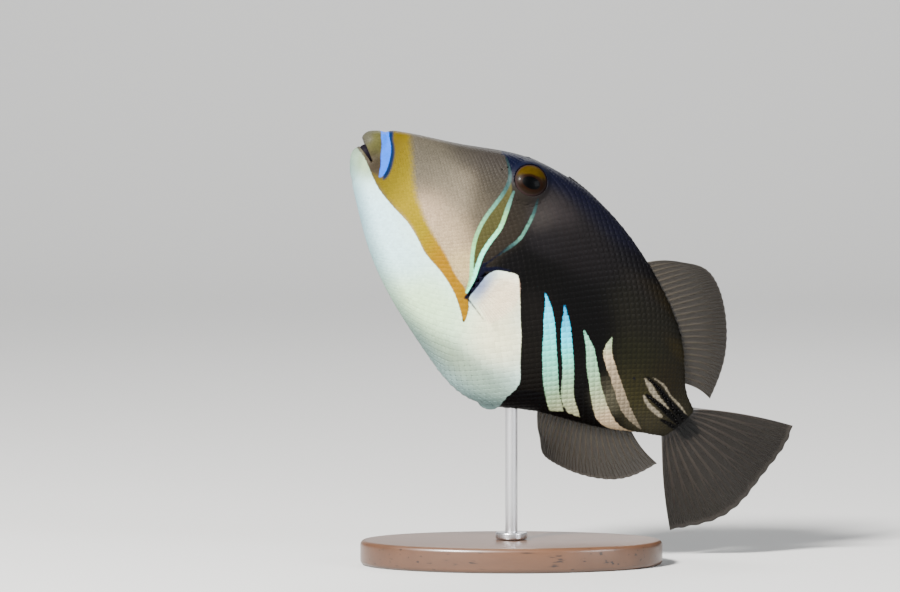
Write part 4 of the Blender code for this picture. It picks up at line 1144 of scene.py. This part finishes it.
def buildCoat():
    shape = addObject("plate", plateShape())
    tree, finish = plateTree(), paintedMaterial("scalePaint", 0.46, 0.00003, True)
    surface = BVHTree.FromObject(skinPiece, bpy.context.evaluated_depsgraph_get())
    for side, word in ((1, "Right"), (-1, "Left")):
        for part, first, last in coat["parts"]:
            scalePiece(part + "Scales" + word, side, first, last, shape, tree, finish, surface)
    bpy.data.objects.remove(shape)


buildCoat()
print("scales")

stalkSpines = {
    "start": 0.010,
    "last": 0.992,
    "spacing": 0.00095,
    "wander": 0.001,
    "spread": 0.0045,
    "spreadGrows": (0.2, 1.6),
    "height": 0.00120,
    "heightShares": (0.8, 1.05),
    "wide": 0.36,
    "taper": 0.8,
    "root": 0.3,
    "lean": 38.0,
    "curl": 1.5,
    "tip": 0.94,
    "rings": 5,
    "sides": 8,
    "seed": 11,
}


def hookShape():
    # a curved spine 1 high, its tip bent towards -X
    rings, sides = stalkSpines["rings"], stalkSpines["sides"]
    lean = math.radians(stalkSpines["lean"])
    verts = []
    for k in range(rings):
        share = k / rings
        radius = stalkSpines["wide"] * (1 - share) ** stalkSpines["taper"]
        bent = math.sin(lean * share ** stalkSpines["curl"]) * share
        height = share - stalkSpines["root"] * (k == 0)
        verts += [(radius * math.cos(t) - bent, radius * math.sin(t), height) for t in evenTurns(sides)]
    verts.append((-math.sin(lean), 0.0, stalkSpines["tip"]))
    last = (rings - 1) * sides
    faces = ringFaces(rings, sides)
    faces += [(last + i, last + (i + 1) % sides, rings * sides) for i in range(sides)]
    faces.append(tuple(range(sides))[::-1])
    return closedMesh("hook", verts, faces)


def buildStalkSpines(tree):
    shape = addObject("hook", hookShape())
    finish, _, _ = newMaterial("blackSpine", {"Base Color": (0.0015, 0.0013, 0.0015, 1), "Roughness": 0.35,
                                              "Specular IOR Level": 0.25})
    draw = random.Random(stalkSpines["seed"])
    wander, (thin, widening) = stalkSpines["wander"], stalkSpines["spreadGrows"]
    for side, word in ((1, "Right"), (-1, "Left")):
        station, level = [], []
        for line in marks["rows"]:
            first, last = line["through"][0][0] + stalkSpines["start"], stalkSpines["last"]
            count = int((last - first) * length / stalkSpines["spacing"]) + 1
            for k in range(count):
                at = first + (last - first) * k / (count - 1)
                spread = stalkSpines["spread"] * min(1.0, thin + widening * k / count)
                station.append(at + draw.uniform(-wander, wander))
                level.append(float(spline(line["through"])(at)) + draw.uniform(-spread, spread))
        station, level = np.array(station), np.array(level)
        out, aft = flankNormal(station, level, side), directions(station)[0]
        heights = [stalkSpines["height"] * draw.uniform(*stalkSpines["heightShares"]) for _ in station]
        size = np.array(heights)[:, None] * np.ones(3)
        place = flankPoint(station, level, side)
        piece = growOn("stalkSpines" + word, place, out, aft, size, shape, tree, finish)
        piece.data.shade_smooth()
        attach(piece, "root")
    bpy.data.objects.remove(shape)


buildStalkSpines(bpy.data.node_groups["plates"])
print("stalk spines")

fins = {
    "sunk": 0.0009,
    "membrane": [(0.0, 0.00045), (0.12, 0.00030), (0.3, 0.00020), (1.0, 0.00010)],
    "ray": [(0.0, 0.00062), (0.12, 0.00042), (0.5, 0.00028), (1.0, 0.00013)],
    "rayWidth": 0.20,        # of the space between two rays
    "rayTaper": 0.10,
    # a split's half spread, where it opens from and to, how much thinner its rays get and by where
    "splits": [(0.25, 0.42, 0.80, 0.40, 0.60), (0.125, 0.68, 0.98, 0.35, 0.80)],
    "joint": {"deep": 0.16, "pitch": 1.4, "above": 0.8, "from": (0.3, 0.5)},
    "rootBlend": 0.10,
    "rowSpread": 1.1,
    "rim": {"side": 0.12, "tip": 1.5, "least": 0.35},
    "scallop": 0.010,
    "bow": 0.006,
}
dorsalFin = {
    "name": "softDorsalFin", "node": "dorsal_fin", "base": (0.677, 0.930), "rays": 24, "perRay": 12,
    "rows": 44,
    "tipStation": [(0.0, 0.732), (0.12, 0.774), (0.3, 0.830), (0.5, 0.890), (0.75, 0.962), (1.0, 1.008)],
    "tipLevel": [(0.0, 0.253), (0.12, 0.280), (0.3, 0.281), (0.5, 0.249), (0.75, 0.178), (1.0, 0.088)],
    "swing": [(0.0, 0.010), (0.3, 0.048), (0.6, 0.040), (0.85, 0.016), (1.0, 0.004)],
}
analFin = {
    "name": "analFin", "node": "anal_fin", "base": (0.712, 0.930), "rays": 22, "perRay": 12, "rows": 44,
    "tipStation": [(0.0, 0.775), (0.12, 0.812), (0.3, 0.870), (0.5, 0.930), (0.75, 1.002), (1.0, 1.040)],
    "tipLevel": [(0.0, -0.262), (0.12, -0.284), (0.3, -0.284), (0.5, -0.260), (0.75, -0.192), (1.0, -0.104)],
    "swing": [(0.0, -0.008), (0.35, 0.022), (0.7, -0.024), (1.0, -0.010)],
}
tailFin = {
    "name": "tailFin", "node": "tail_fin", "rays": 13, "perRay": 30, "rows": 64,
    "length": [(0.0, 0.272), (0.5, 0.268), (1.0, 0.255)], "rootAngle": 41.5, "tipAngle": 28.0, "tilt": 2.5,
    "cup": 5.0, "ripple": 0.014, "waves": 1.6, "inset": 0.0004, "steps": 24,
    "rootExtra": [(0.0, 0.0011), (0.2, 0.0), (1.0, 0.0)],
}
pectoralFin = {
    "station": 0.408, "levels": (-0.102, -0.040), "rays": 13, "perRay": 12, "rows": 36, "steps": 16,
    "length": [(0.0, 0.066), (0.45, 0.084), (0.8, 0.079), (1.0, 0.066)], "fan": (-24.0, 34.0),
    "standsOff": (37.5, 19.5), "outAt": -0.07,
}


def rayHeight(across, reach, branches):
    # 1 on a ray and 0 between rays; a ray splits in two and then in four where it branches
    local = np.abs(across - np.round(across))
    width = fins["rayWidth"] - fins["rayTaper"] * reach
    for spread, first, last, thinner, by in fins["splits"][:branches]:
        local = np.abs(local - spread * smoothStep(first, last, reach))
        width = width * (1 - thinner * smoothStep(first, by, reach))
    return np.exp(-((local / width) ** 2))


def columnCount(shape):
    return (shape["rays"] - 1) * shape["perRay"] + 1


def finPiece(name, shape, lines, node, rootAcross, finish, branches=1):
    # a closed sheet with raised rays; lines(share, reach) gives its middle surface
    columns, rows, joint, rim = columnCount(shape), shape["rows"], fins["joint"], fins["rim"]
    share, row = np.meshgrid(np.linspace(0, 1, columns), np.linspace(0, 1, rows) ** fins["rowSpread"],
                             indexing="ij")
    across = share * (shape["rays"] - 1)
    reach = row * (1 - fins["scallop"] * np.sin(math.pi * across) ** 2 * row)
    middle = lines(share, reach)
    normal = unit(np.cross(np.gradient(middle, axis=0), np.gradient(middle, axis=1)))
    root = np.broadcast_to(rootAcross, normal[:, 0].shape)
    root = root * np.sign((root * normal[:, 3]).sum(-1, keepdims=True))
    blend = smoothStep(fins["rootBlend"], 0.0, row)[..., None]
    normal = unit(normal * (1 - blend) + root[:, None] * blend)
    ray = rayHeight(across, row, branches)
    jointed = (np.sin(row * rows * joint["pitch"]) > joint["above"]) * smoothStep(*joint["from"], row)
    ray = ray * (1 - joint["deep"] * jointed)
    half = ramp(fins["membrane"])(row) * (1 - ray) + ramp(fins["ray"])(row) * ray
    if "rootExtra" in shape:
        half = half + ramp(shape["rootExtra"])(row)
    edge = np.minimum.reduce([across / rim["side"], (shape["rays"] - 1 - across) / rim["side"],
                              (1 - row) * rows / rim["tip"]])
    half = half * (rim["least"] + (1 - rim["least"]) * np.sqrt(np.clip(edge, 0, 1)))
    upper, lower = middle + normal * half[..., None], middle - normal * half[..., None]
    verts = np.concatenate([upper.reshape(-1, 3), lower.reshape(-1, 3)])
    index = np.arange(columns * rows).reshape(columns, rows)
    quads = np.stack([index[:-1, :-1], index[1:, :-1], index[1:, 1:], index[:-1, 1:]], -1).reshape(-1, 4)
    size = columns * rows
    edges = np.concatenate([index[:, 0], index[-1, 1:], index[-2::-1, -1], index[0, -2:0:-1]])
    after = np.roll(edges, -1)
    walls = np.stack([edges, after, after + size, edges + size], -1)
    mesh = closedMesh(name, verts, np.concatenate([quads, quads[:, ::-1] + size, walls]).tolist())
    for label, values in (("ray", ray), ("reach", row), ("across", across)):
        setAttribute(mesh, label, np.concatenate([values.ravel(), values.ravel()]))
    station, _, height = bodyPlace(verts)
    setAttribute(mesh, "rows", lineDepth(sideView(station, height / length), "rows"))
    piece = addObject(name, mesh)
    mesh.materials.append(finish)
    mesh.shade_smooth()
    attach(piece, "root")
    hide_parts(node)


def finPaint(name, clearness, rayClearness, colours):
    # colours: two of the membrane and two of the rays
    made, tree, shader = newMaterial(name, {"Roughness": 0.5, "Specular IOR Level": 0.15})
    ray, reach = stored(tree, "ray"), stored(tree, "reach")
    streak = noise(tree, 900, 3, 0.6)
    membrane = mixColour(tree, streak, pigment(colours[0]), pigment(colours[1]))
    rays = mixColour(tree, streak, pigment(colours[2]), pigment(colours[3]))
    shown = mathNode(tree, "MULTIPLY", ray, soften(tree, reach, 1.1, 0.0))
    root, margin = soften(tree, reach, 0.10, 0.0), soften(tree, reach, 0.93, 1.0)
    colour = membrane
    for place, share, hue in ((shown, 0.5, rays), (root, 0.22, pigment((130, 134, 140))),
                              (margin, 0.12, pigment((190, 184, 178)))):
        colour = mixColour(tree, mathNode(tree, "MULTIPLY", place, share), colour, hue)
    colour = mixColour(tree, soften(tree, stored(tree, "rows"), -0.4, 0.4), colour, pigment((6, 5, 6)))
    tree.links.new(colour, shader.inputs["Base Color"])
    clear = mathNode(tree, "MULTIPLY_ADD", ray, rayClearness, clearness)
    clear = mathNode(tree, "ADD", clear, mathNode(tree, "MULTIPLY", root, 0.2), clamp=True)
    tree.links.new(clear, shader.inputs["Alpha"])
    addBump(tree, shader, streak, 0.00006, 0.5)
    return made


finMaterial = finPaint("finMembrane", 0.84, 0.14,
                       [(62, 56, 49), (78, 71, 62), (116, 108, 96), (146, 137, 122)])
tailMaterial = finPaint("tailMembrane", 0.92, 0.06,
                        [(52, 47, 42), (68, 62, 56), (112, 103, 95), (136, 126, 118)])
palmMaterial = finPaint("clearFin", 0.08, 0.12,
                        [(210, 196, 190), (232, 220, 210), (200, 186, 176), (224, 210, 198)])


def medianLines(shape, side):
    first, last = shape["base"]
    tipStation, tipLevel, swing = (spline(shape[key]) for key in ("tipStation", "tipLevel", "swing"))
    outline = back if side > 0 else belly

    def lines(share, reach):
        station = first + (last - first) * share
        level = side * (outline(station) - fins["sunk"] / length)
        along = station + (tipStation(share) - station) * reach
        height = level + (tipLevel(share) - level) * reach + fins["bow"] * np.sin(math.pi * reach) * side
        return placeAt(along, swing(share) * reach**1.5 * length, height * length)
    return lines


def tailLines(share, reach):
    aft, right, dorsal = directions(1.0)
    end = snout + fromSnout(1.0) - aft * fins["sunk"]
    top, bottom = back(1.0) * length, -belly(1.0) * length
    spread = 2 * share - 1
    reachLength = spline(tailFin["length"])(np.abs(spread)) * length
    steps = tailFin["steps"]
    place = end + dorsal * ((top + bottom) / 2 + ((top - bottom) / 2 - tailFin["inset"]) * spread)[..., None]
    for k in range(steps):
        part = (k + 0.5) / steps * reach
        fan = tailFin["rootAngle"] * (1 - part) + tailFin["tipAngle"] * part
        angle = np.radians(fan * spread + tailFin["tilt"])
        cup = np.radians(tailFin["cup"] * part)
        line = (aft * np.cos(cup)[..., None] + right * np.sin(cup)[..., None]) * np.cos(angle)[..., None]
        place = place + (line + dorsal * np.sin(angle)[..., None]) * (reachLength * reach / steps)[..., None]
    wave = tailFin["ripple"] * length * np.sin(math.pi * tailFin["waves"] * spread) * reach**1.5
    return place + right * wave[..., None]


def pectoralLines(side):
    shape = pectoralFin
    aft, right, dorsal = directions(shape["station"])
    low, high = shape["levels"]
    reachLength = spline(shape["length"])

    def lines(share, reach):
        level = low + (high - low) * share
        station = np.full_like(level, shape["station"])
        place = flankPoint(station, level, side) - flankNormal(station, level, side) * fins["sunk"]
        fan = np.radians(shape["fan"][0] + (shape["fan"][1] - shape["fan"][0]) * share)
        steps = shape["steps"]
        for k in range(steps):
            part = (k + 0.5) / steps * reach
            off = np.radians(shape["standsOff"][0] * (1 - part) + shape["standsOff"][1] * part)[..., None]
            away = aft * np.cos(off) + right * side * np.sin(off)
            line = away * np.cos(fan)[..., None] + dorsal * np.sin(fan)[..., None]
            place = place + line * (reachLength(share) * length * reach / steps)[..., None]
        return place
    return lines


def buildFins():
    for shape, side in ((dorsalFin, 1), (analFin, -1)):
        rootAcross = directions(np.linspace(*shape["base"], columnCount(shape)))[1]
        finPiece(shape["name"], shape, medianLines(shape, side), shape["node"], rootAcross, finMaterial)
    finPiece(tailFin["name"], tailFin, tailLines, tailFin["node"], directions(1.0)[1], tailMaterial, 2)
    for side, word in ((1, "right"), (-1, "left")):
        aft = directions(pectoralFin["station"])[0]
        out = flankNormal(pectoralFin["station"], pectoralFin["outAt"], side)
        finPiece("pectoralFin" + word.capitalize(), pectoralFin, pectoralLines(side), "pectoral_fin_" + word,
                 unit(np.cross(np.cross(aft, out), out)), palmMaterial)


buildFins()
print("fins")

# millimetres across the eye's face
eyePaint = {"pupilAft": 0.5, "pupilUp": -1.3, "pupil": (3.0, 1.95), "pupilTurn": 12.0, "upTilt": (0.9, 0.45)}


def eyeMaterial():
    made, tree, shader = newMaterial("eyeball", {"Roughness": 0.4, "Specular IOR Level": 0.03,
                                                "Coat Weight": 0.012, "Coat Roughness": 0.06})
    fibres = noise(tree, 900, 3, 0.6)
    up, ring, pupil = stored(tree, "eyeUp"), stored(tree, "eyeRing"), stored(tree, "pupil")
    gold = mixColour(tree, fibres, pigment((72, 58, 10)), pigment((108, 86, 16)))
    brown = mixColour(tree, fibres, pigment((36, 28, 20)), pigment((64, 50, 38)))
    height = mathNode(tree, "ADD", up, mathNode(tree, "MULTIPLY", fibres, 0.8))
    colour = mixColour(tree, soften(tree, height, 0.2, 2.4), brown, gold)
    for place, low, high, hue in ((pupil, 1.25, 0.35, (46, 26, 14)), (ring, 4.55, 5.2, (78, 62, 62)),
                                  (pupil, 0.10, -0.10, (3, 4, 6))):
        colour = mixColour(tree, soften(tree, place, low, high), colour, pigment(hue))
    tree.links.new(colour, shader.inputs["Base Color"])
    addBump(tree, shader, fibres, 0.00005, 0.4)
    return made


def buildEyes():
    finish = eyeMaterial()
    for side, word in ((1, "right"), (-1, "left")):
        piece = eyeBall("eye" + word.capitalize(), side, eye["radius"], eye["depth"], 96, 64)
        axes = eyeMatrix(side)
        local = (vertexPlaces(piece.data) - np.array(axes.translation)) @ np.array(axes.to_3x3())
        aft, up = local[:, 0] * 1000, local[:, 2] * 1000 * side
        wide, tall = eyePaint["pupil"]
        turn = math.radians(eyePaint["pupilTurn"])
        offAft, offUp = aft - eyePaint["pupilAft"], up - eyePaint["pupilUp"]
        apart = np.hypot((offAft * math.cos(turn) + offUp * math.sin(turn)) / wide,
                         (offUp * math.cos(turn) - offAft * math.sin(turn)) / tall)
        setAttribute(piece.data, "pupil", (apart - 1) * tall)
        setAttribute(piece.data, "eyeRing", np.hypot(aft, up))
        setAttribute(piece.data, "eyeUp", up * eyePaint["upTilt"][0] - aft * eyePaint["upTilt"][1])
        piece.data.materials.append(finish)
        piece.data.shade_smooth()
        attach(piece, "root")
        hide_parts("eye_" + word)


buildEyes()
print("eyes")


def buildLining():
    # the inside of the mouth, between the lips, with painted shade: it is coloured dark for the shade in the
    # mouth
    made, tree, shader = newMaterial("mouthLining", {"Roughness": 0.6, "Specular IOR Level": 0.03})
    folds = noise(tree, 900, 3, 0.6, stretch=(0.4, 2.0, 2.0))
    # painted shade: the lining's dark purple-grey is the shade inside the mouth
    colour = mixColour(tree, folds, pigment((24, 20, 30)), pigment((50, 44, 56)))
    tree.links.new(colour, shader.inputs["Base Color"])
    addBump(tree, shader, folds, 0.0001, 0.6)
    piece = swelling("mouthLining", mouth["lining"], mouth["slope"])
    piece.data.materials.append(made)
    piece.data.shade_smooth()
    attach(piece, "root")


buildLining()
print("mouth")

trigger = {"steps": 60, "sides": 20, "ridge": 0.07, "ridges": 90, "tipFrom": 0.985, "tip": 0.6}


def buildTrigger():
    # the first dorsal spine, folded into its groove
    made, tree, shader = newMaterial("spineHorn", {"Roughness": 0.35})
    grain = noise(tree, 700, 3, 0.6, stretch=(1.0, 1.0, 0.3))
    colour = mixColour(tree, grain, pigment((26, 26, 38)), pigment((54, 50, 54)))
    tree.links.new(colour, shader.inputs["Base Color"])
    addBump(tree, shader, grain, 0.00008, 0.6)
    places, radii = spineLine(0.0, trigger["steps"])
    share = np.linspace(0, 1, trigger["steps"])
    ridges = 1 + trigger["ridge"] * np.sin(share * trigger["ridges"]) * smoothStep(0.02, 0.1, share)
    radii = radii * ridges * np.where(share > trigger["tipFrom"], trigger["tip"], 1.0)
    piece = tube("triggerSpine", places, radii, trigger["sides"])
    piece.data.materials.append(made)
    piece.data.shade_smooth()
    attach(piece, "root")
    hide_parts("trigger_spine")


buildTrigger()

stand = {"base": (0.098, 0.064, 0.008), "edge": 0.0015, "rod": 0.002, "foot": 0.004, "collar": 0.0052,
         "collarHeight": 0.0022, "collarEdge": 0.0005, "gap": 0.0003, "rodInBody": 0.010}


def rounded(low, high, edge, steps=7):
    # the side of a plate with rounded edges, as (inset, height) places
    turns = np.linspace(0, math.pi / 2, steps)
    lower = [(edge - edge * math.sin(t), low + edge - edge * math.cos(t)) for t in turns]
    return lower + [(inset, low + high - height) for inset, height in lower[::-1]]


def turned(name, wide, deep, profile, sides=160):
    # a closed round or oval shape with half widths wide and deep
    turns, count = evenTurns(sides), len(profile)
    cosine, sine = np.cos(turns), np.sin(turns)
    rings = [np.stack([(wide - inset) * cosine, (deep - inset) * sine, np.full(sides, height)], -1)
             for inset, height in profile]
    faces = ringFaces(count, sides)
    faces += [tuple(range(sides))[::-1], tuple(range((count - 1) * sides, count * sides))]
    mesh = closedMesh(name, np.concatenate(rings), faces)
    mesh.shade_smooth()
    mesh.set_sharp_from_angle(angle=math.radians(40))
    return addObject(name, mesh)


def buildStand():
    wood, tree, shader = newMaterial("stainedWood", {"Roughness": 0.38, "Coat Weight": 0.25,
                                                     "Coat Roughness": 0.2})
    bands = noise(tree, 60, 5, 0.6, stretch=(0.16, 1.6, 1.0))
    pores = noise(tree, 900, 2, 0.5, stretch=(0.05, 1.0, 1.0))
    grain = mixColour(tree, bands, linear((44, 28, 20)), linear((92, 62, 42)))
    grain = mixColour(tree, soften(tree, pores, 0.62, 0.75), grain, linear((24, 15, 11)))
    tree.links.new(grain, shader.inputs["Base Color"])
    addBump(tree, shader, pores, 0.00005, 0.3)
    steel, tree, shader = newMaterial("brushedSteel", {"Base Color": (0.62, 0.62, 0.64, 1), "Metallic": 1.0})
    brush = noise(tree, 500, 3, 0.6, stretch=(4.0, 4.0, 0.1))
    tree.links.new(mathNode(tree, "MULTIPLY_ADD", brush, 0.25, 0.18), shader.inputs["Roughness"])
    addBump(tree, shader, brush, 0.00002, 0.3)
    wide, deep, high = stand["base"]
    rodTop = float(keel[2]) + body["snoutHeight"] + stand["rodInBody"]
    collarLow = high + stand["gap"]
    collarSide = rounded(collarLow, collarLow + stand["collarHeight"], stand["collarEdge"])
    pieces = [
        (turned("standBase", wide / 2, deep / 2, rounded(0.0, high, stand["edge"])), wood,
         "stand_base", "stand_base"),
        (turned("standRod", stand["rod"], stand["rod"], [(0, stand["foot"]), (0, rodTop)], 96), steel,
         "stand_rod", "stand_metal"),
        (turned("standCollar", stand["collar"], stand["collar"], collarSide, 128), steel,
         "stand_collar", "stand_metal"),
    ]
    for piece, finish, node, slotName in pieces:
        piece.data.materials.append(finish)
        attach(piece, "root")
        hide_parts(node)


buildStand()
print("stand")

studio = {
    "camera": (-0.0199, -1.6136, 0.1575),
    "aim": (-0.0199, -0.0151, 0.0877),
    "lens": 199.68,
    "lights": [
        {"name": "keyLight", "place": (-0.75, -1.05, 1.05), "size": 0.3, "watts": 150.0,
         "colour": (1.0, 0.98, 0.95)},
        {"name": "fillLight", "place": (1.1, -0.9, 0.5), "size": 0.5, "watts": 16.0,
         "colour": (0.93, 0.96, 1.0)},
        {"name": "backLight", "place": (0.3, 1.0, 1.0), "size": 0.6, "watts": 8.0,
         "colour": (1.0, 1.0, 1.0)},
        {"name": "wallLight", "place": (0.0, 2.1, 2.0), "aim": (0.0, 3.4, 0.3), "size": 1.6, "watts": 55.0,
         "colour": (1.0, 1.0, 1.0)},
    ],
    "aimLow": (0, 0, 0.08),
    "world": (0.80, 0.82, 0.84),
    "worldStrength": 0.33,
    "sweep": {"half": 5.0, "front": -4.0, "bendStart": 1.9, "bendRadius": 1.8, "top": 4.0, "steps": 24},
}


def lookAt(holder, place, aim):
    holder.location = place
    holder.rotation_euler = (Vector(aim) - holder.location).to_track_quat("-Z", "Y").to_euler()


def floorMesh():
    # a level floor that curves up into the backdrop
    sweep = studio["sweep"]
    start, radius = sweep["bendStart"], sweep["bendRadius"]
    turns = np.linspace(0, math.pi / 2, sweep["steps"])
    side = [(sweep["front"], 0.0), (start, 0.0)]
    side += [(start + radius * math.sin(t), radius - radius * math.cos(t)) for t in turns[1:]]
    side.append((start + radius, sweep["top"]))
    verts = [(x, y, z) for y, z in side for x in (-sweep["half"], sweep["half"])]
    return meshFrom("floor", verts, [(2 * i, 2 * i + 1, 2 * i + 3, 2 * i + 2) for i in range(len(side) - 1)])


def buildStudio():
    camera = bpy.data.cameras.new("camera")
    camera.lens = studio["lens"]
    camera.clip_start, camera.clip_end = 0.05, 20.0
    holder = addObject("camera", camera)
    lookAt(holder, studio["camera"], studio["aim"])
    bpy.context.scene.camera = holder
    for spec in studio["lights"]:
        light = bpy.data.lights.new(spec["name"], "AREA")
        light.size, light.energy, light.color = spec["size"], spec["watts"], spec["colour"]
        lookAt(addObject(spec["name"], light), spec["place"], spec.get("aim", studio["aimLow"]))
    world = bpy.context.scene.world or bpy.data.worlds.new("world")
    bpy.context.scene.world = world
    world.use_nodes = True
    backdrop = world.node_tree.nodes["Background"]
    backdrop.inputs["Color"].default_value = (*studio["world"], 1)
    backdrop.inputs["Strength"].default_value = studio["worldStrength"]
    mesh = floorMesh()
    mesh.shade_smooth()
    floor = addObject("floor", mesh)
    finish, _, _ = newMaterial("paleFloor", {"Base Color": (0.46, 0.46, 0.455, 1), "Roughness": 0.9})
    mesh.materials.append(finish)


buildStudio()
